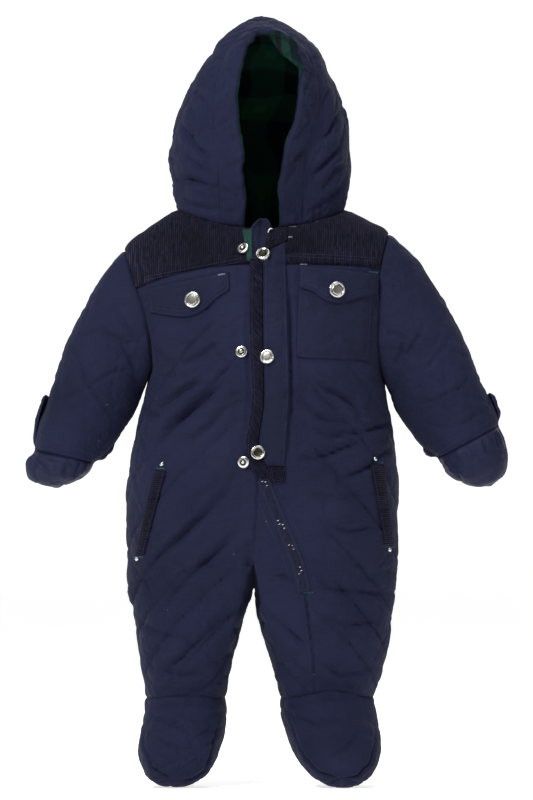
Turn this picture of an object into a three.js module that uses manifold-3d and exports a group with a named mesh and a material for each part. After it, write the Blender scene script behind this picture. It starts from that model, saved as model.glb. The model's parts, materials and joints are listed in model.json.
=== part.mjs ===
// A baby's padded snowsuit with feet, mitts and hood, filled out as if worn.
// Millimetres, +Z up, the front faces -Y, the wearer's left is +X.
// The origin is the centre of the neck, where the wearer holds the suit up.
import * as THREE from "three";
import Module from "manifold-3d";

const wasm = await Module();
wasm.setup();

// Driving sizes
const WALL = 5; // padded cloth with its lining
const NYLON = 2;
const LINING = 1.5;
const LOOSE = 2.4; // room between the hood and its lining
const FLATTENED = 0.45; // how much of a wall's thickness is left at its sewn edge
const SEAM = 0.3; // gap between pieces that are sewn together
const LAID = 0.35; // gap under what lies on a panel
const PUFF = 5; // height of the quilting between its lines
const HOOD_PUFF = 3;
const COLUMNS = 8; // in a quarter of the body
const INSIDE_LEG = 6; // columns on the inside of a leg
const CUFF = 7; // section of a sleeve where its cuff ends
const MITT_TOP = 5.2; // section up to which the back of a mitt reaches behind its sleeve
const ANKLE = 4; // section of a leg where its foot is sewn on
const CROTCH = 11; // section of the trunk where the legs part
const CROTCH_RISE = 30; // of the centre seam above the crotch, in front and behind
const ARMHOLE = { from: 2, to: 6, open: THREE.MathUtils.degToRad(30) };
const YOKE = 3; // section of the trunk where the yoke ends

const { degToRad, lerp, smoothstep } = THREE.MathUtils;
const RIGHT = -1;
const LEFT = 1;

// A table of rows, each an object with the named columns
const table = (columns, rows) =>
  rows.map((row) => Object.fromEntries(columns.split(" ").map((name, i) => [name, row[i]])));

// Rings of the trunk from the neck to the crotch: heights at the centre front, centre back and sides,
// then how far each side, the front and the back reach, and how square the ring is
const TRUNK = table("zFront zBack zRight zLeft right left front back square centre", [
  [-7, 18, 12, 12, 86, 84, 48, 50, 2.2, 0],
  [-18, 4, -8, 0, 115, 108, 58, 60, 2.2, 0],
  [-34, -14, -28, -12, 137, 126, 66, 66, 2.2, 0],
  [-43, -50, -73, -47, 138, 130, 74, 74, 2.3, 0],
  [-95, -95, -93, -93, 132, 132, 80, 80, 2.4, 0],
  [-130, -130, -128, -128, 121, 127, 85, 84, 2.4, 0],
  [-158, -158, -155, -160, 113, 122, 89, 85, 2.4, 0],
  [-200, -200, -200, -200, 122, 128, 92, 86, 2.4, -1],
  [-248, -248, -248, -248, 132, 134, 94, 88, 2.4, -3],
  [-292, -292, -296, -296, 135, 135, 91, 90, 2.4, -5],
  [-322, -322, -342, -342, 133, 135, 86, 90, 2.4, -7],
  [-338, -338, -368, -368, 132, 133, 80, 88, 2.4, -8],
]);

// Sections of the legs and feet: the front and back points of each, then both legs' outer and inner sides
const LEG = table("frontY frontZ backY backZ outRight inRight outLeft inLeft", [
  [-80, -368, 88, -368, -132, -8, 133, -8],
  [-72, -392, 76, -392, -127, -19, 129, -3],
  [-64, -416, 66, -416, -123, -26, 126, 4],
  [-56, -442, 56, -442, -120, -31, 121, 11],
  [-44, -475, 45, -475, -116, -36, 112, 18],
  [-48, -486, 45, -502, -118, -36, 114, 20],
  [-56, -498, 34, -527, -121, -39, 117, 26],
  [-65, -510, 6, -542, -123, -43, 118, 32],
  [-75, -522, -28, -551, -121, -48, 115, 39],
  [-84, -534, -58, -559, -116, -56, 108, 49],
  [-90, -542, -78, -561, -107, -67, 98, 60],
  [-89, -552, -89, -552, -87, -87, 79, 79],
]);

// Sections of a sleeve and its mitt: the outer and inner points, the half depth and how far forward it lies
const SLEEVE_COLUMNS = "outX outZ inX inZ depth forward";
const SLEEVE = {
  [RIGHT]: table(SLEEVE_COLUMNS, [
    [-137, -28, -113, -155, 42, 0],
    [-153, -47, -118, -163, 45, 0],
    [-168, -70, -122, -171, 44, 2],
    [-183, -101, -126, -182, 43, 5],
    [-196, -129, -133, -197, 41, 8],
    [-206, -158, -142, -211, 39, 11],
    [-216, -186, -153, -226, 37, 14],
    [-227, -228, -167, -241, 35, 18],
    [-233, -237, -174, -249, 32, 20],
    [-235, -246, -185, -257, 27, 21],
    [-231, -256, -203, -263, 17, 22],
    [-218, -262, -218, -262, 0, 22],
  ]),
  [LEFT]: table(SLEEVE_COLUMNS, [
    [126, -12, 122, -160, 42, 0],
    [150, -34, 127, -167, 45, 0],
    [172, -64, 131, -175, 44, 2],
    [190, -98, 135, -187, 43, 5],
    [204, -128, 144, -202, 41, 8],
    [216, -157, 155, -217, 39, 11],
    [228, -182, 166, -228, 37, 14],
    [236, -204, 176, -236, 35, 18],
    [241, -222, 186, -250, 32, 20],
    [243, -238, 199, -259, 27, 21],
    [239, -252, 213, -264, 17, 22],
    [228, -263, 228, -263, 0, 22],
  ]),
};

// Arches of the hood from its front edge to the back of the neck: the angle at which each starts round the
// neck, its top, then half widths and depths at fifths of the way from the neck to the top
const HOOD = table("neck top r1 r2 r3 r4 l1 l2 l3 l4 y1 y2 y3 y4 y5", [
  [12, 193, 22, 28, 25, 13, 24, 38, 41, 28, -66, -78, -80, -76, -68],
  [27, 199, 44, 49, 39, 20, 44, 57, 51, 27, -55, -62, -62, -56, -48],
  [50, 203, 78, 69, 50, 27, 75, 71, 56, 30, -38, -40, -37, -32, -28],
  [90, 205, 90, 74, 49, 24, 86, 77, 55, 28, 4, 6, 6, 5, 5],
  [125, 188, 81, 69, 47, 24, 79, 70, 50, 26, 46, 54, 56, 52, 48],
  [150, 155, 52, 47, 33, 17, 52, 47, 34, 18, 70, 84, 88, 87, 86],
  [166, 92, 33, 31, 25, 13, 33, 31, 25, 13, 66, 80, 88, 91, 92],
  [180, 18, 0, 0, 0, 0, 0, 0, 0, 0, 50, 50, 50, 50, 50],
]);
const BAND = 1; // arch at which the hood's band is sewn on
const NAPE = 6; // arch from which the middle panel takes in the whole back of the neck
const HOOD_MIDDLE = { from: 3, to: 7.5 }; // the middle panel, in tenths of an arch

// Folds of the cloth: each line on the front, half its width and its depth
const FOLDS = table("x0 z0 x1 z1 width depth", [
  [-35, -158, -110, -212, 14, 4],
  [-60, -158, -92, -180, 11, 4],
  [52, -162, 100, -200, 12, 3],
  [38, -236, 98, -216, 13, 3.5],
  [74, -258, 130, -222, 12, 3.5],
]);

// Catmull-Rom spline through the rows of a table
function along(rows, t) {
  const i = Math.min(Math.max(Math.floor(t), 0), rows.length - 2);
  const f = t - i;
  const row = (k) => rows[Math.min(Math.max(k, 0), rows.length - 1)];
  const value = {};
  for (const name of Object.keys(rows[0])) {
    const [a, b, c, d] = [-1, 0, 1, 2].map((step) => row(i + step)[name]);
    value[name] = b + 0.5 * f * (c - a + f * (2 * a - 5 * b + 4 * c - d + f * (3 * (b - c) + d - a)));
  }
  return value;
}

const power = (value, exponent) => Math.sign(value) * Math.abs(value) ** exponent;

function trunkPoint(k, angle, side) {
  const ring = along(TRUNK, k);
  const across = Math.sin(angle);
  const ahead = Math.cos(angle);
  const width = side === RIGHT ? ring.right + ring.centre : ring.left - ring.centre;
  const zSide = side === RIGHT ? ring.zRight : ring.zLeft;
  const depth = ahead > 0 ? ring.front : ring.back;
  const zMiddle = ahead > 0 ? ring.zFront : ring.zBack;
  return new THREE.Vector3(
    ring.centre + side * width * power(across, 2 / ring.square),
    -depth * power(ahead, 2 / ring.square),
    zMiddle * ahead ** 2 + zSide * across ** 2,
  );
}

// Half the armhole's opening, as an angle round the trunk
function armhole(k) {
  const middle = (ARMHOLE.from + ARMHOLE.to) / 2;
  const reach = (k - middle) / (ARMHOLE.to - middle);
  return Math.abs(reach) < 1 ? ARMHOLE.open * Math.sqrt(1 - reach ** 2) : 0;
}

// A leg starts as half of the trunk, closed by a straight line inside, and turns into an oval
function legPoint(g, column, side) {
  const section = along(LEG, g);
  const [out, inside] = side === RIGHT
    ? [section.outRight, section.inRight]
    : [section.outLeft, section.inLeft];
  const outer = 2 * COLUMNS;
  const t = Math.max(0, column - outer) / INSIDE_LEG;
  const angle = (Math.PI * Math.min(column, outer)) / outer;
  const round = 2 / TRUNK[CROTCH].square;
  const ahead = Math.cos(angle);
  const half = new THREE.Vector3(
    inside + (out - inside) * power(Math.sin(angle), round),
    ahead > 0 ? section.frontY * power(ahead, round) : -section.backY * power(ahead, round),
    0,
  );
  half.y = lerp(half.y, section.frontY, t);
  half.z = lerp(section.backZ, section.frontZ, half.y < 0 ? 1 : 0);
  const raised = column > outer ? Math.cos(Math.PI * t) ** 2 : ahead ** 2;
  half.z += CROTCH_RISE * (1 - smoothstep(g, 0, 3)) * raised;

  const turn = legAngle(column);
  const oval = new THREE.Vector3(
    lerp(inside, out, (1 + power(Math.sin(turn), round)) / 2),
    lerp(section.backY, section.frontY, (1 + power(Math.cos(turn), round)) / 2),
    lerp(section.backZ, section.frontZ, (1 + power(Math.cos(turn), round)) / 2),
  );
  return half.lerp(oval, smoothstep(g, 0, 3));
}

function legAngle(column) {
  const extra = degToRad(50);
  const outer = 2 * COLUMNS;
  return column <= outer
    ? -extra + ((Math.PI + 2 * extra) * column) / outer
    : Math.PI + extra + ((Math.PI - 2 * extra) * (column - outer)) / INSIDE_LEG;
}

// Rows of the trunk: even steps between its main seams
const steps = (from, to, count) => Array.from({ length: count }, (_, i) => from + ((to - from) * i) / count);
const ARM_ROWS = [...steps(2, 3, 2), ...steps(3, 4, 3), ...steps(4, 5, 3), ...steps(5, 6, 2), 6];
const TRUNK_ROWS = [...steps(0, 2, 3), ...ARM_ROWS, ...steps(6, CROTCH, 11).slice(1), CROTCH];
const LEG_ROWS = [...steps(0, ANKLE, 6), ...steps(ANKLE, 11, 8), 11];
const SLEEVE_RINGS = [...steps(0, CUFF, 10), ...steps(CUFF, 11, 4), 11];
const HOOD_ROWS = [0, 0.5, ...steps(BAND, NAPE, 9), ...steps(NAPE, 7, 2), 7];
const RING = 2 * (ARM_ROWS.length - 1); // points round a sleeve

// Points round an armhole, from its top down the front and up the back
function armholeLoop(side) {
  return Array.from({ length: RING }, (_, i) => {
    const front = i <= RING / 2;
    const k = ARM_ROWS[front ? i : RING - i];
    const open = armhole(k);
    const reach = (k - ARMHOLE.from) / (ARMHOLE.to - ARMHOLE.from);
    const turn = Math.acos(1 - 2 * reach);
    return {
      point: trunkPoint(k, Math.PI / 2 + (front ? -open : open), side),
      turn: front ? turn : 2 * Math.PI - turn,
    };
  });
}

function sleevePoint(g, i, side, loop) {
  const oval = (t, turn) => {
    const section = along(SLEEVE[side], t);
    const near = (1 + Math.cos(turn)) / 2;
    return new THREE.Vector3(
      lerp(section.inX, section.outX, near),
      -section.forward - section.depth * Math.sin(turn),
      lerp(section.inZ, section.outZ, near),
    );
  };
  const start = loop[i % RING];
  const startTurn = i === RING ? start.turn + 2 * Math.PI : start.turn;
  const turn = lerp(startTurn, (2 * Math.PI * i) / RING, smoothstep(g, 0, 3));
  const offset = start.point.clone().sub(oval(0, start.turn));
  return oval(g, turn).addScaledVector(offset, 1 - smoothstep(g, 0, 2));
}

// T runs from the right of the neck, 0, over the top, 5, to the left, 10
function hoodPoint(s, T) {
  const arch = along(HOOD, s);
  const side = T < 5 ? RIGHT : LEFT;
  const [fromRight, fromLeft] = [RIGHT, LEFT].map((to) => trunkPoint(0, degToRad(arch.neck), to));
  const { r1, r2, r3, r4, l1, l2, l3, l4, y1, y2, y3, y4, y5 } = arch;
  const xs = [fromRight.x, -r1, -r2, -r3, -r4, 0, l4, l3, l2, l1, fromLeft.x].map((x) => ({ x }));
  const ys = [fromRight.y, y1, y2, y3, y4, y5, y4, y3, y2, y1, fromLeft.y].map((y) => ({ y }));
  const base = side === RIGHT ? fromRight.z : fromLeft.z;
  const height = Math.sin((Math.PI / 2) * (1 - Math.abs(T - 5) / 5));
  return new THREE.Vector3(along(xs, T).x, along(ys, T).y, lerp(base, arch.top, height));
}

// A skin is a surface of faces that share their points; the walls of the pieces are cut from it
class Skin {
  constructor() {
    this.points = [];
    this.quilt = [];
    this.faces = [];
    this.index = new Map();
  }

  vertex(point, quilt) {
    const key = point.toArray().map((value) => Math.round(value * 50)).join();
    if (!this.index.has(key)) {
      this.index.set(key, this.points.length);
      this.points.push(point);
      this.quilt.push(quilt);
    }
    return this.index.get(key);
  }

  // Adds a grid of points; the quilting counts its rows and, from a centre line, its columns
  patch(name, rows, columns, pointAt, { turned = false, diamond, firstRow = 0, fromCentre = (j) => j }) {
    const grid = rows.map((row) => columns.map((column) => pointAt(row, column)));
    const quilts = rows.map((_, i) => columns.map((_, j) => quilting(firstRow + i, fromCentre(j), diamond)));
    const ids = grid.map((points, i) => points.map((point, j) => this.vertex(point, quilts[i][j])));
    for (let i = 0; i + 1 < rows.length; i++)
      for (let j = 0; j + 1 < columns.length; j++) {
        const round = [ids[i][j], ids[i + 1][j], ids[i + 1][j + 1], ids[i][j + 1]];
        const corners = round.filter((id, k) => id !== round[(k + 3) % 4]);
        if (corners.length < 3) continue;
        if (turned) corners.reverse();
        this.faces.push({ patch: name, row: rows[i], column: columns[j], corners });
      }
  }

  // Normals of the whole surface, so that both sides of a seam agree
  finish(fixedNormal) {
    this.normals = this.points.map(() => new THREE.Vector3());
    for (const { corners } of this.faces) {
      const normal = new THREE.Vector3();
      corners.forEach((id, k) =>
        normal.add(this.points[id].clone().cross(this.points[corners[(k + 1) % corners.length]])),
      );
      for (const id of corners) this.normals[id].add(normal);
    }
    this.normals.forEach((normal, id) => {
      normal.normalize();
      const fixed = fixedNormal(this.points[id]);
      if (fixed) normal.copy(fixed);
    });
    return this;
  }
}

// Height of the quilting, from 0 on its lines to 1, with diamonds so many steps of the grid wide and high
function quilting(row, column, diamond) {
  const rising = Math.abs(Math.sin((Math.PI * (row + column + 1)) / diamond));
  const falling = Math.abs(Math.sin((Math.PI * (row - column + 1)) / diamond));
  return Math.sqrt(rising * falling);
}

// Boxes of the front, in X and Z, whose quilting is pressed flat by what is sewn on it
const FLAT = table("x0 z0 x1 z1", [
  [-26, -264, 48, 10],
  [-118, -98, -28, -48],
  [30, -142, 120, -42],
  [-134, -340, -92, -240],
  [102, -330, 138, -234],
  [-20, -376, 66, -250],
]);
const pressed = ({ x, y, z }) =>
  y < 0 && FLAT.some((box) => x > box.x0 && x < box.x1 && z > box.z0 && z < box.z1);

// Depth of the folds at a point of the front
function folding({ x, y, z }) {
  if (y > 0) return 0;
  let depth = 0;
  for (const fold of FOLDS) {
    const line = new THREE.Vector2(fold.x1 - fold.x0, fold.z1 - fold.z0);
    const from = new THREE.Vector2(x - fold.x0, z - fold.z0);
    const t = from.dot(line) / line.lengthSq();
    const aside = Math.abs(from.cross(line)) / line.length();
    if (t <= 0 || t >= 1 || aside >= fold.width) continue;
    depth += fold.depth * Math.sqrt(Math.sin(Math.PI * t)) * Math.cos((Math.PI * aside) / (2 * fold.width)) ** 2;
  }
  return depth;
}

// The neck's edge points straight out for the trunk and the hood alike
function neckNormal(point) {
  const angle = Math.atan2(Math.abs(point.x) / 86, -point.y / 49);
  const rim = trunkPoint(0, angle, point.x < 0 ? RIGHT : LEFT);
  const onRim = Math.abs(rim.z - point.z) < 2.5 && Math.hypot(rim.x - point.x, rim.y - point.y) < 4;
  return onRim ? new THREE.Vector3(point.x / 86 ** 2, point.y / 49 ** 2, 0).normalize() : null;
}

const range = (from, to) => Array.from({ length: to - from + 1 }, (_, i) => from + i);

const DIAMOND = { trunk: 3, sleeve: 4, hood: 2 }; // steps of the grid across a diamond of the quilting

function bodySkin() {
  const skin = new Skin();
  const diamond = DIAMOND.trunk;
  for (const side of [RIGHT, LEFT]) {
    const hand = side === RIGHT ? "right" : "left";
    const turned = side === RIGHT;
    const half = 2 * COLUMNS;
    const quarter = (k) => Math.PI / 2 - armhole(k);
    const front = (k, j) => trunkPoint(k, (quarter(k) * j) / COLUMNS, side);
    const back = (k, j) => trunkPoint(k, Math.PI - (quarter(k) * (COLUMNS - j)) / COLUMNS, side);
    skin.patch(`front_${hand}`, TRUNK_ROWS, range(0, COLUMNS), front, { turned, diamond });
    skin.patch(`back_${hand}`, TRUNK_ROWS, range(0, COLUMNS), back, {
      turned,
      diamond,
      fromCentre: (j) => COLUMNS - j,
    });
    skin.patch(`leg_${hand}`, LEG_ROWS, range(0, half + INSIDE_LEG), (g, j) => legPoint(g, j, side), {
      turned,
      diamond,
      firstRow: TRUNK_ROWS.length - 1,
      fromCentre: (j) => {
        const behind = j > COLUMNS && j < half + INSIDE_LEG / 2;
        return behind ? half - j : Math.min(j, half + INSIDE_LEG - j);
      },
    });
    const loop = armholeLoop(side);
    skin.patch(`sleeve_${hand}`, SLEEVE_RINGS, range(0, RING), (g, i) => sleevePoint(g, i, side, loop), {
      turned: !turned,
      diamond: DIAMOND.sleeve,
      fromCentre: (j) => Math.min(j, RING - j),
    });
  }
  return skin.finish(neckNormal);
}

function hoodSkin(rows, columns) {
  const skin = new Skin();
  skin.patch("hood", rows, columns, hoodPoint, { turned: true, diamond: DIAMOND.hood });
  return skin.finish(neckNormal);
}

// Edges that belong to one face only, each with the piece on its left
function edgesOf(faces) {
  const seen = new Map();
  for (const { corners } of faces)
    corners.forEach((a, k) => {
      const b = corners[(k + 1) % corners.length];
      if (seen.has(`${b},${a}`)) seen.delete(`${b},${a}`);
      else seen.set(`${a},${b}`, [a, b]);
    });
  return [...seen.values()];
}

// A closed wall over faces of a skin: its outer side lies top above the skin and its inner side bottom below,
// and its edge is drawn in by inset
function wall(skin, faces, { top, bottom, inset = SEAM / 2 }) {
  const edges = edgesOf(faces);
  const drawn = new Map();
  for (const [a, b] of edges) {
    const along = skin.points[b].clone().sub(skin.points[a]);
    for (const id of [a, b]) {
      const inward = skin.normals[id].clone().cross(along).normalize();
      drawn.set(id, [...(drawn.get(id) ?? []), inward]);
    }
  }
  const points = [];
  const outer = new Map();
  const inner = new Map();
  for (const { corners } of faces)
    for (const id of corners) {
      if (outer.has(id)) continue;
      const shift = new THREE.Vector3();
      const inwards = drawn.get(id);
      if (inwards) {
        for (const inward of inwards) shift.add(inward);
        shift.normalize();
        shift.multiplyScalar(inset / Math.max(shift.dot(inwards[0]), 0.4));
      }
      const normal = skin.normals[id];
      outer.set(id, points.length);
      points.push(skin.points[id].clone().addScaledVector(normal, top(id, !!inwards)).add(shift));
      inner.set(id, points.length);
      points.push(skin.points[id].clone().addScaledVector(normal, -bottom(id, !!inwards)).add(shift));
    }
  const triangles = [];
  const height = (id) => skin.quilt[id];
  for (const { corners } of faces) {
    const [a, b, c, d] = corners;
    const split = corners.length === 3
      ? [[a, b, c]]
      : height(a) + height(c) < height(b) + height(d)
        ? [[a, b, c], [a, c, d]]
        : [[a, b, d], [b, c, d]];
    for (const corner of split) {
      triangles.push(corner.map((id) => outer.get(id)));
      triangles.push(corner.map((id) => inner.get(id)).reverse());
    }
  }
  for (const [a, b] of edges) {
    triangles.push([outer.get(b), outer.get(a), inner.get(a)]);
    triangles.push([outer.get(b), inner.get(a), inner.get(b)]);
  }
  return { points, triangles };
}

// The padding thins out under the arms, where the sleeves lie against the trunk
const ARMPITS = [RIGHT, LEFT].map((side) => trunkPoint(ARMHOLE.to, Math.PI / 2, side));
const clear = (point) => Math.min(...ARMPITS.map((armpit) => smoothstep(point.distanceTo(armpit), 20, 60)));

// A padded wall, flattened at its sewn edges, with its quilting raised to puff
const padded = (skin, puff, thickness = WALL) => ({
  top: (id, onEdge) => {
    const point = skin.points[id];
    if (onEdge) return 0;
    return (pressed(point) ? 0 : puff * skin.quilt[id] * clear(point)) - folding(point);
  },
  bottom: (id, onEdge) => thickness * (onEdge ? FLATTENED : lerp(FLATTENED, 1, clear(skin.points[id]))),
});

function solidOf({ points, triangles }) {
  return new wasm.Manifold(
    new wasm.Mesh({
      numProp: 3,
      vertProperties: new Float32Array(points.flatMap((point) => point.toArray())),
      triVerts: new Uint32Array(triangles.flat()),
    }),
  );
}

// What is left of a solid once a cutter is taken out, without crumbs
function cutFrom(solid, cutter) {
  const bodies = solid.subtract(cutter).decompose();
  return bodies.reduce((most, next) => (next.volume() > most.volume() ? next : most));
}

function solidOfGeometry(geometry) {
  const position = geometry.getAttribute("position");
  const points = [];
  const ids = new Map();
  const id = Array.from({ length: position.count }, (_, i) => {
    const point = new THREE.Vector3().fromBufferAttribute(position, i);
    const key = point.toArray().map((value) => Math.round(value * 1e4)).join();
    if (!ids.has(key)) {
      ids.set(key, points.length);
      points.push(point);
    }
    return ids.get(key);
  });
  const corners = geometry.index ? [...geometry.index.array] : range(0, position.count - 1);
  const triangles = [];
  for (let i = 0; i < corners.length; i += 3) {
    const triangle = corners.slice(i, i + 3).map((corner) => id[corner]);
    if (new Set(triangle).size === 3) triangles.push(triangle);
  }
  return solidOf({ points, triangles });
}

// Materials
const material = (color, roughness, metalness = 0) =>
  new THREE.MeshStandardMaterial({ color, roughness, metalness });
const CLOTH = {
  shell: material("#262b40", 0.7),
  corduroy: material("#1b1a24", 0.95),
  nylon: material("#2a2e42", 0.45),
  tartan: material("#0d1c16", 0.9),
  zip: material("#232838", 0.6),
};
const METAL = material("#c4c4c0", 0.3, 0.9);

const body = bodySkin();
const hood = hoodSkin(HOOD_ROWS, range(0, 20).map((i) => i / 2));
const liningSkin = hoodSkin(HOOD_ROWS.filter((_, i) => i % 2 === 1), range(0, 10));

// Which faces belong to each piece of the body
const outerLeg = 2 * COLUMNS;
const insideFront = outerLeg + INSIDE_LEG / 2;
const SOLE = { from: 10, to: outerLeg, row: 5 };
const frontLeg = ({ column }) => column < COLUMNS || column >= insideFront;
const isSole = ({ row, column }) => row >= SOLE.row - 0.3 && column >= SOLE.from && column < SOLE.to;
const PIECES = [];
for (const hand of ["right", "left"]) {
  const trunk = (face, half) => face.patch === `${half}_${hand}`;
  const panel = (face, half) => trunk(face, half) && face.row >= YOKE;
  const leg = (face) => face.patch === `leg_${hand}` && face.row < ANKLE;
  const foot = (face) => face.patch === `leg_${hand}` && face.row >= ANKLE;
  PIECES.push(
    [`yoke_front_${hand}`, (face) => trunk(face, "front") && face.row < YOKE, "corduroy"],
    [`front_${hand}`, (face) => panel(face, "front") || (leg(face) && frontLeg(face)), "shell"],
    [`back_${hand}`, (face) => panel(face, "back") || (leg(face) && !frontLeg(face)), "shell"],
    [`foot_upper_${hand}`, (face) => foot(face) && !isSole(face), "shell"],
    [`foot_sole_${hand}`, (face) => foot(face) && isSole(face), "nylon"],
    [`sleeve_${hand}`, (face) => face.patch === `sleeve_${hand}` && face.row < CUFF, "shell"],
  );
}
PIECES.push(["yoke_back", (face) => face.patch.startsWith("back_") && face.row < YOKE, "corduroy"]);

// A piece of the body, or that piece grown outward on all sides to cut its neighbour with
function bodyPiece(name, grown = 0) {
  const [, belongs, finish] = PIECES.find((piece) => piece[0] === name);
  const plain = finish !== "shell" || name.startsWith("foot");
  const { top, bottom } = padded(body, plain ? 0 : PUFF);
  const shape = {
    top: (id, onEdge) => top(id, onEdge) + grown,
    bottom: (id, onEdge) => bottom(id, onEdge) + 2 * grown,
    inset: SEAM / 2 - grown,
  };
  return solidOf(wall(body, body.faces.filter(belongs), shape));
}

const solids = new Map();
const keep = (name, finish, solid) => solids.set(name, { finish, solid });
for (const [name, , finish] of PIECES) keep(name, finish, bodyPiece(name));
// Where a seam turns sharply, the second piece gives way to the first
for (const [first, second] of [
  ["front_right", "sleeve_right"],
  ["back_left", "sleeve_left"],
  ["foot_sole_right", "foot_upper_right"],
]) {
  const cut = solids.get(second);
  cut.solid = cutFrom(cut.solid, bodyPiece(first, SEAM * 0.7));
}

// The hood sits on the neck's edge: a band, two sides, a middle panel and the lining
const yokes = ["yoke_front_right", "yoke_front_left", "yoke_back"];
const underHood = wasm.Manifold.union(yokes.map((name) => bodyPiece(name, SEAM * 0.9)));
const inBand = ({ row }) => row < BAND;
const inMiddle = ({ row, column }) =>
  !inBand({ row }) && (row >= NAPE || (column >= HOOD_MIDDLE.from && column < HOOD_MIDDLE.to));
for (const [name, belongs] of [
  ["hood_band", inBand],
  ["hood_middle", inMiddle],
  ["hood_side_right", (face) => !inBand(face) && !inMiddle(face) && face.column < HOOD_MIDDLE.from],
  ["hood_side_left", (face) => !inBand(face) && !inMiddle(face) && face.column >= HOOD_MIDDLE.to],
]) {
  const shape = padded(hood, name === "hood_band" ? HOOD_PUFF / 2 : HOOD_PUFF);
  keep(name, "shell", cutFrom(solidOf(wall(hood, hood.faces.filter(belongs), shape)), underHood));
}
const insideHood = { top: () => -(WALL + LOOSE), bottom: () => WALL + LOOSE + LINING };
keep("hood_lining", "tartan", cutFrom(solidOf(wall(liningSkin, liningSkin.faces, insideHood)), underHood));

// A mitt closes the end of its sleeve, and its back reaches up behind the sleeve, open for the hand
for (const hand of ["right", "left"]) {
  const sleeve = padded(body, PUFF);
  const faces = body.faces.filter(
    ({ patch, row, column }) =>
      patch === `sleeve_${hand}` && (row >= CUFF || (row >= MITT_TOP && column >= RING / 2)),
  );
  const behind = new Set(
    body.faces
      .filter(({ patch, row, column }) =>
        patch === `sleeve_${hand}` && row >= MITT_TOP && row < CUFF && column >= RING / 2)
      .flatMap(({ corners }) => corners),
  );
  const sleeveFaces = body.faces.filter((face) => face.patch === `sleeve_${hand}` && face.row < CUFF);
  const cuffEdge = edgesOf(sleeveFaces).flat();
  const lift = (id) => (behind.has(id) ? sleeve.top(id, cuffEdge.includes(id)) + LAID : 0);
  const shape = {
    top: (id) => lift(id) + (behind.has(id) ? NYLON : 0),
    bottom: (id) => (behind.has(id) ? -lift(id) : NYLON),
  };
  keep(`mitt_${hand}`, "nylon", solidOf(wall(body, faces, shape)));
}

// The zip runs down the left leg, and the seam below it goes on to the ankle
const ZIP = table("x z", [
  [-5, -250],
  [1, -256],
  [10, -279],
  [19, -301],
  [29, -323],
  [38, -348],
  [42, -368],
]);
const LEG_SEAM = table("x z", [
  [44, -376],
  [46, -395],
  [51, -435],
  [52, -467],
  [53, -482],
]);

// The part of the left front between the centre and that seam is a piece of its own
function insideOfSeam(gap) {
  const line = [...ZIP, ...LEG_SEAM].map(({ x, z }) => new THREE.Vector2(x + gap, z));
  const [top, bottom] = [line[0], line.at(-1)];
  const outline = new THREE.Shape([...line, new THREE.Vector2(-60, bottom.y), new THREE.Vector2(-60, top.y)]);
  const depth = 240;
  const prism = new THREE.ExtrudeGeometry(outline, { depth, bevelEnabled: false });
  return solidOfGeometry(prism.rotateX(Math.PI / 2).translate(0, depth / 2, 0));
}
const wholeFront = solids.get("front_left").solid;
keep("front_left", "shell", cutFrom(wholeFront, insideOfSeam(SEAM / 2)));
keep("front_left_inside", "shell", wholeFront.intersect(insideOfSeam(-SEAM / 2)));

// Adds a piece to the suit
const suit = new THREE.Group();
function addPiece(name, solid, finish) {
  const mesh = solid.getMesh();
  const geometry = new THREE.BufferGeometry()
    .setAttribute("position", new THREE.BufferAttribute(new Float32Array(mesh.vertProperties), 3))
    .setIndex(new THREE.BufferAttribute(new Uint32Array(mesh.triVerts), 1));
  geometry.computeVertexNormals();
  const piece = new THREE.Mesh(geometry, finish);
  piece.name = name;
  suit.add(piece);
  return piece;
}
const panels = new Map();
for (const [name, { solid, finish }] of solids) panels.set(name, addPiece(name, solid, CLOTH[finish]));

// The place and the normal of the front's outer side at x and z
const FRONTS = ["yoke_front_right", "yoke_front_left", "front_right", "front_left", "front_left_inside"];
const raycaster = new THREE.Raycaster();
function onFront(x, z) {
  const hitAt = (dx, dz) => {
    raycaster.set(new THREE.Vector3(x + dx, -300, z + dz), new THREE.Vector3(0, 1, 0));
    return raycaster.intersectObjects(FRONTS.map((name) => panels.get(name)))[0];
  };
  const close = 0.6; // steps past a seam's gap
  const tries = [0, close, -close, 2 * close].map((dx) => hitAt(dx, 0));
  const { point } = tries.find((hit) => hit && hit.point.y < 0);
  const normal = new THREE.Vector3();
  const around = 5;
  for (const [dx, dz] of [[0, 0], [around, 0], [-around, 0], [0, around], [0, -around]]) {
    const hit = hitAt(dx, dz);
    if (hit && hit.point.y < 0) normal.add(hit.face.normal);
  }
  return { point: new THREE.Vector3(x, point.y, z), normal: normal.normalize() };
}

// What lies on the front: strips of cloth between two edges, a to b, in layers that each clear those below
const STEP = 20; // longest step of a strip
const SUNK = 2; // how far a strip starts inside the panel before the panel is cut from it
const cutters = wasm.Manifold.union(
  [...yokes.slice(0, 2), "front_right", "front_left"].map((name) => bodyPiece(name, LAID)),
);

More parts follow.
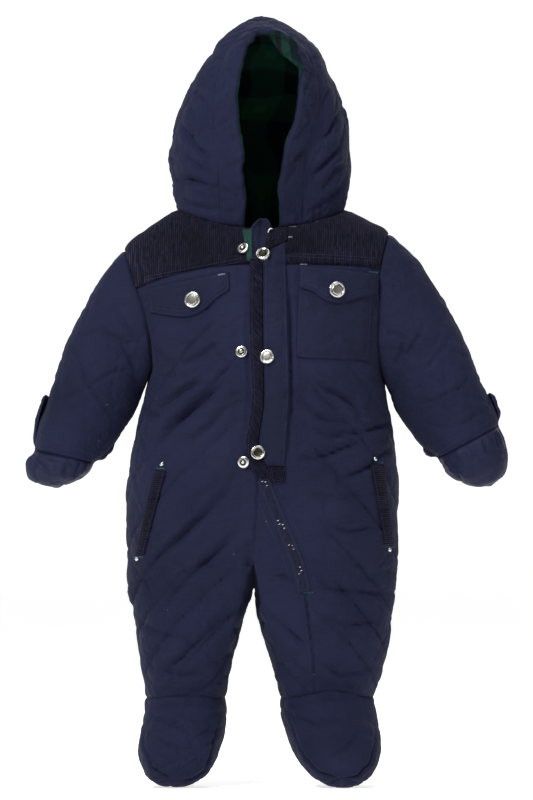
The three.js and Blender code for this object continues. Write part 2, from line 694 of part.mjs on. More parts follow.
function strip(stations, surface = onFront) {
  const at = (t, s) => {
    const i = Math.min(Math.floor(t), stations.length - 2);
    const [from, to] = [stations[i], stations[i + 1]];
    const mix = (name) => lerp(from[name], to[name], t - i);
    return surface(lerp(mix("ax"), mix("bx"), s), lerp(mix("az"), mix("bz"), s));
  };
  const width = Math.max(...stations.map(({ ax, az, bx, bz }) => Math.hypot(bx - ax, bz - az)));
  const across = Math.max(1, Math.ceil(width / STEP));
  const lengths = stations.slice(1).map(({ ax, az }, i) => Math.hypot(ax - stations[i].ax, az - stations[i].az));
  const rows = lengths.flatMap((length, i) => steps(i, i + 1, Math.max(1, Math.ceil(length / STEP))));
  rows.push(stations.length - 1);
  const skin = { points: [], normals: [], quilt: [] };
  const grid = rows.map((t) =>
    range(0, across).map((j) => {
      const { point, normal } = at(t, j / across);
      skin.normals.push(normal);
      skin.quilt.push(0);
      return skin.points.push(point) - 1;
    }),
  );
  const faces = [];
  for (let i = 0; i + 1 < rows.length; i++)
    for (let j = 0; j < across; j++)
      faces.push({ corners: [grid[i][j], grid[i + 1][j], grid[i + 1][j + 1], grid[i][j + 1]] });
  const [a, b, c] = faces[0].corners.map((id) => skin.points[id]);
  const facing = b.clone().sub(a).cross(c.clone().sub(a)).dot(skin.normals[0]);
  if (facing < 0) for (const face of faces) face.corners.reverse();
  return { skin, faces };
}

const onTop = new Map(); // the same pieces, grown, to cut what lies on them
function lay(name, finish, stations, { height, under = [], surface, sunk = () => SUNK }) {
  const { skin, faces } = strip(stations, surface);
  const shape = (grown) => ({
    top: () => height + grown,
    bottom: (id) => sunk(skin.points[id]) + grown,
    inset: -grown,
  });
  const below = wasm.Manifold.union([cutters, ...under.map((other) => onTop.get(other))]);
  onTop.set(name, solidOf(wall(skin, faces, shape(LAID))));
  return addPiece(name, cutFrom(solidOf(wall(skin, faces, shape(0))), below), CLOTH[finish]);
}

const edges = (rows) => table("ax az bx bz", rows);
const LOW = LAID + 1.6; // top of a first layer of cloth
const HIGH = LOW + LAID + 1.7; // top of a second layer

// The zip guard stands up behind the top of the zip, past the neck's edge
const NECK_FRONT = TRUNK[0].zFront;
const guardSurface = (x, z) => {
  const lean = 0.35;
  const free = Math.max(0, z - NECK_FRONT + 3);
  const place = onFront(x, z - free);
  place.point.z = z;
  place.point.y += lean * free;
  return place;
};
const guardSunk = ({ z }) => (z > NECK_FRONT - 3 ? -LAID : SUNK);
lay("zip_guard", "shell", edges([
  [-12, -45, 6, -45],
  [-12.5, -28, 8, -28],
  [-13, -10.5, 9.5, -10.5],
  [-9.5, -4, 9.2, -4],
  [-6, 0, 7.5, 0],
  [-2.5, 3, 4.5, 3],
]), { height: LOW, surface: guardSurface, sunk: guardSunk });
lay("neck_facing", "tartan", edges([
  [-18.5, -10.5, -13.5, -11],
  [-16.5, -25, -13, -25],
  [-14.3, -40, -12.5, -40],
]), { height: LAID + 1.2 });
lay("chest_pocket", "shell", edges([
  [34.3, -131, 36.8, -46],
  [38, -136, 42, -47],
  [59, -137, 62, -48.5],
  [84, -138, 90, -51],
  [107, -138.6, 113, -53.5],
]), { height: LOW });
lay("hip_welt_right", "corduroy", edges([
  [-107, -248, -95, -248],
  [-126, -332, -117, -332],
]), { height: LOW + 0.4 });
lay("hip_welt_left", "corduroy", edges([
  [107, -242, 122, -242],
  [122, -322, 132, -322],
]), { height: LOW + 0.4 });

// The zip's closed tape and teeth
const TAPE = 6.5; // half its width
const shown = ZIP.slice(1).map(({ x, z }, i, line) => {
  const [from, to] = [line[Math.max(i - 1, 0)], line[Math.min(i + 1, line.length - 1)]];
  const along = new THREE.Vector2(to.x - from.x, to.z - from.z).setLength(TAPE);
  return { ax: x + along.y, az: z - along.x, bx: x - along.y, bz: z + along.x };
});
lay("zip", "zip", shown, { height: LAID + 1.2 });

// The storm flap over the zip: a corduroy edge, a plain middle, and a corduroy top and end
lay("storm_flap_edge", "corduroy", edges([
  [-12, -38, 1, -34],
  [-12.5, -108, 1, -108],
  [-10, -178, 2, -178],
  [-16, -219, -3, -221],
  [-12, -246, 4.8, -244],
]), { height: HIGH, under: ["zip_guard", "neck_facing"] });
lay("storm_flap", "shell", edges([
  [1.3, -30.5, 23.5, -20],
  [1.3, -34, 23.7, -34],
  [1.3, -108, 26, -108],
  [2.3, -178, 27, -178],
  [-2.7, -221, 24, -221],
  [5.1, -244, 23, -244],
]), { height: HIGH, under: ["zip_guard"] });
lay("storm_flap_top", "corduroy", edges([
  [2, -29.8, 4, -17],
  [8, -27, 9, -12],
  [16, -23.2, 16, -9],
  [25, -19, 25, -9],
]), { height: HIGH, under: ["zip_guard"] });
lay("storm_flap_end", "corduroy", edges([
  [5.3, -254, 5.3, -244.4],
  [13, -260, 13, -244.4],
  [23, -258, 23, -244.4],
]), { height: HIGH, under: ["zip"] });

lay("pocket_flap_right", "shell", edges([
  [-111.5, -91.5, -113, -66.8],
  [-98, -93.5, -98, -63.8],
  [-84, -95.5, -85, -61],
  [-71, -95, -71, -58.2],
  [-58, -88.5, -58, -55.6],
  [-45, -77, -46, -53.2],
  [-32, -68.5, -33, -50.7],
]), { height: HIGH });
lay("pocket_flap_left", "shell", edges([
  [37, -66.8, 37, -45],
  [51, -71, 51, -46],
  [62.5, -79.5, 63, -47],
  [74, -81.6, 75, -48],
  [85, -80.2, 87, -49.5],
  [97, -76, 100, -51],
  [114.5, -73, 115, -53],
]), { height: HIGH, under: ["chest_pocket"] });

// The top of the zip's slider shows between its guard and the storm flap
const SLIDER = { x: 8.6, z: -8.8, width: 4, length: 9, thick: 2.2, turn: degToRad(35) };
const sliderPlace = onFront(SLIDER.x, SLIDER.z);
const slider = new THREE.BoxGeometry(SLIDER.width, SLIDER.thick, SLIDER.length);
slider.rotateY(SLIDER.turn);
slider.translate(...sliderPlace.point.add(new THREE.Vector3(0, -(LOW + LAID + SLIDER.thick / 2), 0)).toArray());
const roundSlider = ["zip_guard", "storm_flap", "storm_flap_top"].map((name) => onTop.get(name));
addPiece("zip_slider", cutFrom(solidOfGeometry(slider), wasm.Manifold.union([cutters, ...roundSlider])), METAL);

// Snaps, studs and rivets: a turned profile, radius and height above the cloth in parts of the radius
const SHAPES = {
  cap: {
    segments: 14,
    profile: [[1, 0.08], [0.93, 0.2], [0.66, 0.27], [0.52, 0.17], [0, 0.15]],
  },
  stud: {
    segments: 12,
    profile: [[1, 0.1], [0.85, 0.24], [0.55, 0.2], [0.45, 0.1], [0.25, 0.34], [0, 0.38]],
  },
  rivet: {
    segments: 8,
    profile: [[1, 0.2], [0.7, 0.6], [0, 0.75]],
  },
};
function fasten(name, shape, diameter, x, z, base, under) {
  const { segments, profile } = SHAPES[shape];
  const radius = diameter / 2;
  const outline = [[0, -SUNK], [radius, -SUNK], ...profile.map(([r, h]) => [r * radius, h * radius])];
  const lathe = new THREE.LatheGeometry(outline.map(([r, h]) => new THREE.Vector2(r, h)), segments);
  const { point, normal } = onFront(x, z);
  const turn = new THREE.Quaternion().setFromUnitVectors(new THREE.Vector3(0, 1, 0), normal);
  lathe.applyQuaternion(turn).translate(...point.addScaledVector(normal, base + LAID).toArray());
  const below = wasm.Manifold.union([cutters, ...under.map((other) => onTop.get(other))]);
  addPiece(name, cutFrom(solidOfGeometry(lathe), below), METAL);
}
const CAP = 14.5;
const FLAP_CAP = 16.5;
const STUD = 11.8;
const RIVET = 4.6;
const flapParts = ["storm_flap", "storm_flap_edge", "storm_flap_top", "zip_guard"];
for (const [i, [x, z]] of [[1, -33], [5, -135], [-4, -230]].entries())
  fasten(`snap_${i + 1}`, "cap", CAP, x, z, HIGH, flapParts);
fasten("snap_pocket_right", "cap", FLAP_CAP, -69, -78.5, HIGH, ["pocket_flap_right"]);
fasten("snap_pocket_left", "cap", FLAP_CAP, 74.5, -68.5, HIGH, ["pocket_flap_left"]);
for (const [i, [x, z]] of [[-19, -27], [-20.5, -130], [-18.5, -239.5]].entries())
  fasten(`stud_${i + 1}`, "stud", STUD, x, z, 0, ["storm_flap_edge", "neck_facing"]);
for (const [name, x, z] of [
  ["rivet_right_top", -99.5, -241.5],
  ["rivet_right_end", -124.5, -336],
  ["rivet_left_top", 112.5, -236.5],
  ["rivet_left_end", 127, -327],
])
  fasten(name, "rivet", RIVET, x, z, 0, []);

export default suit;
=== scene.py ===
# A baby's padded snowsuit, filled out as if worn. All tables are in millimetres: x to the wearer's left,
# y to the back, z up, from the centre of the neck. Right and left are the wearer's.
import math

import json

import bpy
import numpy as np
from mathutils import Matrix, Vector, kdtree
from mathutils.bvhtree import BVHTree

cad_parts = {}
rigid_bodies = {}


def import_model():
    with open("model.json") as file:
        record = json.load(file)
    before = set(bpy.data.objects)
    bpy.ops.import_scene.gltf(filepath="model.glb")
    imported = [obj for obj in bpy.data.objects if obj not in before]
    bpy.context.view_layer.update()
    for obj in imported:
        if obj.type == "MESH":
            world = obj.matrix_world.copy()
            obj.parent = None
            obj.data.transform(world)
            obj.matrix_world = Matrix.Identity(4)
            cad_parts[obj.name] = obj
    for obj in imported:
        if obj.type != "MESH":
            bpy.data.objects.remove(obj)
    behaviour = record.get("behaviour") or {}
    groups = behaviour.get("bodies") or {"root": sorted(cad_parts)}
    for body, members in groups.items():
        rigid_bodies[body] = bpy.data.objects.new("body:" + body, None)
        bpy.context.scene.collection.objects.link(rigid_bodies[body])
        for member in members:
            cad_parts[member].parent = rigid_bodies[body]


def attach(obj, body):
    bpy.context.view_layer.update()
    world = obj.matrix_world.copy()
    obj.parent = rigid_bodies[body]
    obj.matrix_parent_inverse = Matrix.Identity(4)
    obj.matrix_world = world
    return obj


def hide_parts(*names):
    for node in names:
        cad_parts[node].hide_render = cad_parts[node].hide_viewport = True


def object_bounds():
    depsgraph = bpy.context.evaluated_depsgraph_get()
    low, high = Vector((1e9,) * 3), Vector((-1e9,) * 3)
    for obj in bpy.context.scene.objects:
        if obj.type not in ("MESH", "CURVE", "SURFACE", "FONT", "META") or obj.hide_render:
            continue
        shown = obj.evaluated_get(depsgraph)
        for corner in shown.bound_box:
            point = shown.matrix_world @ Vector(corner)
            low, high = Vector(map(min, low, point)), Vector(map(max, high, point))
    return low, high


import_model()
cad_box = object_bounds()
MM = 0.001
RIGHT, LEFT = -1, 1
FINE = 7  # steps of the visible surface in one step of the solids' grid
FINE_COLUMNS = 10


def table(columns, rows):
    values = np.array(rows, float).T
    return dict(zip(columns.split(), values))


# The forms of the suit: the same tables as the solids'
TRUNK = table("zFront zBack zRight zLeft right left front back square centre", [
    (-7, 18, 12, 12, 86, 84, 48, 50, 2.2, 0),
    (-18, 4, -8, 0, 115, 108, 58, 60, 2.2, 0),
    (-34, -14, -28, -12, 137, 126, 66, 66, 2.2, 0),
    (-43, -50, -73, -47, 138, 130, 74, 74, 2.3, 0),
    (-95, -95, -93, -93, 132, 132, 80, 80, 2.4, 0),
    (-130, -130, -128, -128, 121, 127, 85, 84, 2.4, 0),
    (-158, -158, -155, -160, 113, 122, 89, 85, 2.4, 0),
    (-200, -200, -200, -200, 122, 128, 92, 86, 2.4, -1),
    (-248, -248, -248, -248, 132, 134, 94, 88, 2.4, -3),
    (-292, -292, -296, -296, 135, 135, 91, 90, 2.4, -5),
    (-322, -322, -342, -342, 133, 135, 86, 90, 2.4, -7),
    (-338, -338, -368, -368, 132, 133, 80, 88, 2.4, -8),
])
LEG = table("frontY frontZ backY backZ outRight inRight outLeft inLeft", [
    (-80, -368, 88, -368, -132, -8, 133, -8),
    (-72, -392, 76, -392, -127, -19, 129, -3),
    (-64, -416, 66, -416, -123, -26, 126, 4),
    (-56, -442, 56, -442, -120, -31, 121, 11),
    (-44, -475, 45, -475, -116, -36, 112, 18),
    (-48, -486, 45, -502, -118, -36, 114, 20),
    (-56, -498, 34, -527, -121, -39, 117, 26),
    (-65, -510, 6, -542, -123, -43, 118, 32),
    (-75, -522, -28, -551, -121, -48, 115, 39),
    (-84, -534, -58, -559, -116, -56, 108, 49),
    (-90, -542, -78, -561, -107, -67, 98, 60),
    (-89, -552, -89, -552, -87, -87, 79, 79),
])
SLEEVE = {
    RIGHT: table("outX outZ inX inZ depth forward", [
        (-137, -28, -113, -155, 42, 0),
        (-153, -47, -118, -163, 45, 0),
        (-168, -70, -122, -171, 44, 2),
        (-183, -101, -126, -182, 43, 5),
        (-196, -129, -133, -197, 41, 8),
        (-206, -158, -142, -211, 39, 11),
        (-216, -186, -153, -226, 37, 14),
        (-227, -228, -167, -241, 35, 18),
        (-233, -237, -174, -249, 32, 20),
        (-235, -246, -185, -257, 27, 21),
        (-231, -256, -203, -263, 17, 22),
        (-218, -262, -218, -262, 0, 22),
    ]),
    LEFT: table("outX outZ inX inZ depth forward", [
        (126, -12, 122, -160, 42, 0),
        (150, -34, 127, -167, 45, 0),
        (172, -64, 131, -175, 44, 2),
        (190, -98, 135, -187, 43, 5),
        (204, -128, 144, -202, 41, 8),
        (216, -157, 155, -217, 39, 11),
        (228, -182, 166, -228, 37, 14),
        (236, -204, 176, -236, 35, 18),
        (241, -222, 186, -250, 32, 20),
        (243, -238, 199, -259, 27, 21),
        (239, -252, 213, -264, 17, 22),
        (228, -263, 228, -263, 0, 22),
    ]),
}
HOOD = table("neck top r1 r2 r3 r4 l1 l2 l3 l4 y1 y2 y3 y4 y5", [
    (12, 193, 22, 28, 25, 13, 24, 38, 41, 28, -66, -78, -80, -76, -68),
    (27, 199, 44, 49, 39, 20, 44, 57, 51, 27, -55, -62, -62, -56, -48),
    (50, 203, 78, 69, 50, 27, 75, 71, 56, 30, -38, -40, -37, -32, -28),
    (90, 205, 90, 74, 49, 24, 86, 77, 55, 28, 4, 6, 6, 5, 5),
    (125, 188, 81, 69, 47, 24, 79, 70, 50, 26, 46, 54, 56, 52, 48),
    (150, 155, 52, 47, 33, 17, 52, 47, 34, 18, 70, 84, 88, 87, 86),
    (166, 92, 33, 31, 25, 13, 33, 31, 25, 13, 66, 80, 88, 91, 92),
    (180, 18, 0, 0, 0, 0, 0, 0, 0, 0, 50, 50, 50, 50, 50),
])
COLUMNS = 8
INSIDE_LEG = 6
CUFF = 7
MITT_TOP = 5.2
ANKLE = 4
CROTCH_RISE = 30
ARM_FROM, ARM_TO, ARM_OPEN = 2, 6, math.radians(30)
YOKE = 3
BAND = 1
NAPE = 6
MIDDLE_FROM, MIDDLE_TO = 3, 7.5


def along(rows, t):
    """Catmull-Rom spline through the rows of a table."""
    t = np.asarray(t, float)
    count = len(next(iter(rows.values())))
    i = np.clip(np.floor(t).astype(int), 0, count - 2)
    f = t - i
    value = {}
    for name, v in rows.items():
        a, b, c, d = (v[np.clip(i + step, 0, count - 1)] for step in (-1, 0, 1, 2))
        value[name] = b + 0.5 * f * (c - a + f * (2 * a - 5 * b + 4 * c - d + f * (3 * (b - c) + d - a)))
    return value


def lerp(a, b, t):
    return a + (b - a) * t


def smoothstep(x, low, high):
    t = np.clip((x - low) / (high - low), 0, 1)
    return t * t * (3 - 2 * t)


def power(value, exponent):
    return np.sign(value) * np.abs(value) ** exponent


def trunk_point(k, angle, side):
    ring = along(TRUNK, k)
    across, ahead = np.sin(angle), np.cos(angle)
    width = ring["right"] + ring["centre"] if side == RIGHT else ring["left"] - ring["centre"]
    z_side = ring["zRight"] if side == RIGHT else ring["zLeft"]
    depth = np.where(ahead > 0, ring["front"], ring["back"])
    z_middle = np.where(ahead > 0, ring["zFront"], ring["zBack"])
    return np.stack([
        ring["centre"] + side * width * power(across, 2 / ring["square"]),
        -depth * power(ahead, 2 / ring["square"]),
        z_middle * ahead ** 2 + z_side * across ** 2,
    ], -1)


def armhole(k):
    middle = (ARM_FROM + ARM_TO) / 2
    reach = (k - middle) / (ARM_TO - middle)
    return ARM_OPEN * np.sqrt(np.clip(1 - reach ** 2, 0, None))


def leg_point(g, column, side):
    section = along(LEG, g)
    hand = "Right" if side == RIGHT else "Left"
    out, inside = section["out" + hand], section["in" + hand]
    outer = 2 * COLUMNS
    t = np.clip(column - outer, 0, None) / INSIDE_LEG
    angle = np.pi * np.minimum(column, outer) / outer
    round_ = 2 / TRUNK["square"][-1]
    ahead = np.cos(angle)
    y = np.where(ahead > 0, section["frontY"] * power(ahead, round_), -section["backY"] * power(ahead, round_))
    y = lerp(y, section["frontY"], t)
    raised = np.where(column > outer, np.cos(np.pi * t) ** 2, ahead ** 2)
    turned = 1 - smoothstep(g, 0, 3)
    half = np.stack([
        inside + (out - inside) * power(np.sin(angle), round_),
        y,
        np.where(y < 0, section["frontZ"], section["backZ"]) + CROTCH_RISE * turned * raised,
    ], -1)
    extra = math.radians(50)
    turn = np.where(
        column <= outer,
        -extra + (np.pi + 2 * extra) * column / outer,
        np.pi + extra + (np.pi - 2 * extra) * (column - outer) / INSIDE_LEG,
    )
    near = (1 + power(np.cos(turn), round_)) / 2
    oval = np.stack([
        lerp(inside, out, (1 + power(np.sin(turn), round_)) / 2),
        lerp(section["backY"], section["frontY"], near),
        lerp(section["backZ"], section["frontZ"], near),
    ], -1)
    return lerp(oval, half, turned[..., None])


def steps(start, end, count):
    return [start + (end - start) * i / count for i in range(count)]


ARM_ROWS = steps(2, 3, 2) + steps(3, 4, 3) + steps(4, 5, 3) + steps(5, 6, 2) + [6]
TRUNK_ROWS = steps(0, 2, 3) + ARM_ROWS + steps(6, 11, 11)[1:] + [11]
LEG_ROWS = steps(0, ANKLE, 6) + steps(ANKLE, 11, 8) + [11]
SLEEVE_RINGS = steps(0, CUFF, 10) + steps(CUFF, 11, 4) + [11]
HOOD_ROWS = [0, 0.5] + steps(BAND, NAPE, 9) + steps(NAPE, 7, 2) + [7]
RING = 2 * (len(ARM_ROWS) - 1)


def sleeve_point(g, i, side):
    def oval(t, turn):
        section = along(SLEEVE[side], t)
        near = (1 + np.cos(turn)) / 2
        return np.stack([
            lerp(section["inX"], section["outX"], near),
            -section["forward"] - section["depth"] * np.sin(turn),
            lerp(section["inZ"], section["outZ"], near),
        ], -1)

    front = i <= RING / 2
    k = np.interp(np.where(front, i, RING - i), range(len(ARM_ROWS)), ARM_ROWS)
    opened = armhole(k)
    start = trunk_point(k, np.pi / 2 + np.where(front, -opened, opened), side)
    turn = np.arccos(np.clip(1 - 2 * (k - ARM_FROM) / (ARM_TO - ARM_FROM), -1, 1))
    turn = np.where(front, turn, 2 * np.pi - turn)
    offset = start - oval(0 * g, turn)
    turned = lerp(turn, 2 * np.pi * i / RING, smoothstep(g, 0, 3))
    return oval(g, turned) + offset * (1 - smoothstep(g, 0, 2))[..., None]


def hood_point(s, T):
    arch = along(HOOD, s)
    base = {side: trunk_point(0 * s, np.radians(arch["neck"]), side) for side in (RIGHT, LEFT)}
    names = [("r1", -1), ("r2", -1), ("r3", -1), ("r4", -1), (None, 0), ("l4", 1), ("l3", 1), ("l2", 1), ("l1", 1)]
    xs = [base[RIGHT][..., 0]] + [sign * arch[name] if name else 0 * s for name, sign in names] + [base[LEFT][..., 0]]
    ys = [arch[name] for name in ("y1", "y2", "y3", "y4", "y5", "y4", "y3", "y2", "y1")]
    ys = [base[RIGHT][..., 1]] + ys + [base[LEFT][..., 1]]

    def spline(values):
        values = np.stack(values)
        i = np.clip(np.floor(T).astype(int), 0, 9)
        f = T - i
        pick = [np.take_along_axis(values, np.clip(i + step, 0, 10)[None], 0)[0] for step in (-1, 0, 1, 2)]
        a, b, c, d = pick
        return b + 0.5 * f * (c - a + f * (2 * a - 5 * b + 4 * c - d + f * (3 * (b - c) + d - a)))

    height = np.sin(np.pi / 2 * (1 - np.abs(T - 5) / 5))
    low = np.where(T < 5, base[RIGHT][..., 2], base[LEFT][..., 2])
    return np.stack([spline(xs), spline(ys), lerp(low, arch["top"], height)], -1)


def refined(values, fine):
    count = len(values)
    return np.interp(np.arange((count - 1) * fine + 1) / fine, range(count), values)


class Patch:
    """A grid of points, with the row and column of the solids' grid that each cell lies in."""

    def __init__(self, name, rows, columns, point_at, turned, start=0, level=False, fine_columns=FINE_COLUMNS,
                 fine_rows=FINE):
        self.name = name
        r, c = refined(rows, fine_rows), refined(columns, fine_columns)
        self.rows, self.columns = np.meshgrid(r, c, indexing="ij")
        self.points = point_at(self.rows, self.columns)
        self.cell_row = np.repeat(rows[:-1], fine_rows)[:, None] + np.zeros(len(c) - 1)
        self.cell_column = np.zeros(len(r) - 1)[:, None] + np.repeat(columns[:-1], fine_columns)
        self.turned = turned
        across = np.linalg.norm(np.diff(self.points, axis=1), axis=-1)
        across = np.concatenate([np.zeros((len(r), 1)), np.cumsum(across, 1)], 1)
        first = int(np.argmin(np.abs(c - start)))
        u = across - across[:, first:first + 1]
        down = np.linalg.norm(np.diff(self.points, axis=0), axis=-1)
        down = np.concatenate([np.zeros((1, len(c))), np.cumsum(down, 0)])
        v = -self.points[..., 2] if level else down
        self.uv = np.stack([u, v], -1)


class Skin:
    """Patches that share their points along their edges, with smooth normals over all of them."""

    def __init__(self, patches):
        self.patches = patches
        flat = np.concatenate([patch.points.reshape(-1, 3) for patch in patches])
        keys = np.floor((flat + 0.00317) / 0.02).astype(np.int64)
        _, first, ids = np.unique(keys, axis=0, return_index=True, return_inverse=True)
        ids = ids.reshape(-1)
        self.points = flat[first]
        self.uv = np.concatenate([patch.uv.reshape(-1, 2) for patch in patches])[first]
        self.rows = np.concatenate([patch.rows.ravel() for patch in patches])[first]
        self.normals = np.zeros_like(self.points)
        start = 0
        for patch in patches:
            shape = patch.points.shape[:2]
            patch.ids = ids[start:start + shape[0] * shape[1]].reshape(shape)
            start += shape[0] * shape[1]
            i = patch.ids
            quads = np.stack([i[:-1, :-1], i[1:, :-1], i[1:, 1:], i[:-1, 1:]], -1).reshape(-1, 4)
            corners = np.stack([
                self.grid_ids(shape, 0, 0), self.grid_ids(shape, 1, 0),
                self.grid_ids(shape, 1, 1), self.grid_ids(shape, 0, 1),
            ], -1).reshape(-1, 4)
            if patch.turned:
                quads, corners = quads[:, ::-1], corners[:, ::-1]
            patch.quads, patch.corners = quads, corners
            p = self.points[quads]
            normal = np.cross(p[:, 2] - p[:, 0], p[:, 3] - p[:, 1])
            for k in range(4):
                np.add.at(self.normals, quads[:, k], normal)
        self.normals /= np.maximum(np.linalg.norm(self.normals, axis=1, keepdims=True), 1e-9)
        self.straighten_neck()

    def straighten_neck(self):
        """The neck's edge points straight out for the trunk and the hood alike."""
        x, y, z = self.points.T
        angle = np.arctan2(np.abs(x) / 86, -y / 49)
        rim = np.where((x < 0)[:, None], trunk_point(0 * x, angle, RIGHT), trunk_point(0 * x, angle, LEFT))
        on_rim = (np.abs(rim[:, 2] - z) < 2.5) & (np.hypot(rim[:, 0] - x, rim[:, 1] - y) < 4)
        out = np.stack([x / 86 ** 2, y / 49 ** 2, 0 * z], -1)
        out /= np.maximum(np.linalg.norm(out, axis=1, keepdims=True), 1e-9)
        self.normals[on_rim] = out[on_rim]

    @staticmethod
    def grid_ids(shape, down, across):
        index = np.arange(shape[0] * shape[1]).reshape(shape)
        return index[down:shape[0] - 1 + down, across:shape[1] - 1 + across]


def body_skin():
    patches = []
    half = 2 * COLUMNS
    for side, hand in ((RIGHT, "right"), (LEFT, "left")):
        turned = side == RIGHT

        def quarter(k):
            return np.pi / 2 - armhole(k)

        columns = list(range(COLUMNS + 1))
        patches += [
            Patch(f"front_{hand}", TRUNK_ROWS, columns,
                  lambda k, j, side=side: trunk_point(k, quarter(k) * j / COLUMNS, side), turned, 0, True),
            Patch(f"back_{hand}", TRUNK_ROWS, columns,
                  lambda k, j, side=side: trunk_point(k, np.pi - quarter(k) * (COLUMNS - j) / COLUMNS, side),
                  turned, COLUMNS, True),
            Patch(f"leg_{hand}", LEG_ROWS, list(range(half + INSIDE_LEG + 1)),
                  lambda g, j, side=side: leg_point(g, j, side), turned, 0),
            Patch(f"sleeve_{hand}", SLEEVE_RINGS, list(range(RING + 1)),
                  lambda g, i, side=side: sleeve_point(g, i, side), not turned, RING / 4, False, FINE),
        ]
    return Skin(patches)


# The ankle seams arch up in front: middle, half width and rise
ANKLE_ARCHES = [(-76, 42, 2), (70, 48, 7)]


def arch_ankles(points):
    """Raises the cloth about the ankles' seams in front."""
    x, y, z = points.T
    for middle, half, rise in ANKLE_ARCHES:
        across = np.cos(np.clip((x - middle) / half, -1, 1) * np.pi / 2) ** 2
        z += rise * across * smoothstep(-y, 0, 25) * np.exp(-((z + 475) / 20) ** 2)


body = body_skin()
arch_ankles(body.points)
HOOD_FINE = 2 * FINE
hood = Skin([Patch("hood", HOOD_ROWS, [i / 2 for i in range(21)], hood_point, True, 5, fine_rows=HOOD_FINE)])


# Surface detail, as heights along the normals
def rough(points, size, seed):
    """Smooth noise from -1 to 1 in cells of the given size, which may differ along the axes."""
    q = points / np.asarray(size, float)
    i = np.floor(q).astype(np.int64)
    f = q - i
    f = f * f * (3 - 2 * f)
    total = 0
    for dx in (0, 1):
        for dy in (0, 1):
            for dz in (0, 1):
                n = (i[:, 0] + dx) * 73856093 ^ (i[:, 1] + dy) * 19349663 ^ (i[:, 2] + dz) * 83492791 ^ seed * 7919
                n = (n ^ (n >> 13)) * 1274126177 & 0xFFFFFFFF
                n = (n ^ (n >> 16)) & 0xFFFFFFFF
                weight = (
                    np.where(dx, f[:, 0], 1 - f[:, 0])
                    * np.where(dy, f[:, 1], 1 - f[:, 1])
                    * np.where(dz, f[:, 2], 1 - f[:, 2])
                )
                total = total + weight * (n / 2 ** 31 - 1)
    return total


QUILT = 60  # from one quilting line to the next


def cell_noise(i, j, seed):
    """A fixed random number from -1 to 1 for each whole i and j."""
    n = (i.astype(np.int64) * 73856093) ^ (j.astype(np.int64) * 19349663) ^ (seed * 83492791)
    n = (n ^ (n >> 13)) * 1274126177 & 0xFFFFFFFF
    return ((n ^ (n >> 16)) & 0xFFFFFFFF) / 2 ** 31 - 1


def quilting(points, uv, lead, cross):
    """Height of the padding, from 0 on the quilting's lines to 1, and the depth of the lines themselves.

    The lines of one family, outward and down for lead 1 and inward and down for lead -1, are pulled tighter
    than those that cross them, whose strength is cross."""
    drift = 2.6 * rough(points, (38, 38, 38), 71)
    u, v = uv[:, 0] + drift, uv[:, 1] + 2.6 * rough(points, (38, 38, 38), 73)
    first, second = (u - v - 6) / QUILT, (u + v + 6) / QUILT
    if lead < 0:
        first, second = second, first
    tight, slack = np.abs(np.sin(np.pi * first)), np.abs(np.sin(np.pi * second))
    fullness = 0.85 + 0.3 * cell_noise(np.floor(first), np.floor(second), 77)
    padding = fullness * tight ** 0.45 * lerp(1, slack ** 0.45, cross)
    pulled = QUILT / np.pi / math.sqrt(2)
    tight_line = np.exp(-((pulled * np.arcsin(tight) / 1.25) ** 2)) * (0.8 + 0.4 * rough(points, (30, 30, 30), 79))
    slack_line = cross * np.exp(-((pulled * np.arcsin(slack) / 1.25) ** 2))
    return padding, np.maximum(tight_line, slack_line)


def wrinkles(points, size, seed):
    """Thin valleys that wander over the cloth, mostly along the first of the sizes."""
    lean = math.radians(24)
    x, y, z = points.T
    out = np.abs(x)
    turned = np.stack([out * math.cos(lean) - z * math.sin(lean), y, out * math.sin(lean) + z * math.cos(lean)], -1)
    turned = turned + np.sign(x)[:, None] * 300
    coarse = rough(points, (60, 60, 60), seed + 1)
    lines = (1 - np.abs(rough(turned, size, seed))) ** 7
    return lines * np.clip(0.55 + 0.9 * coarse, 0, 1.3)


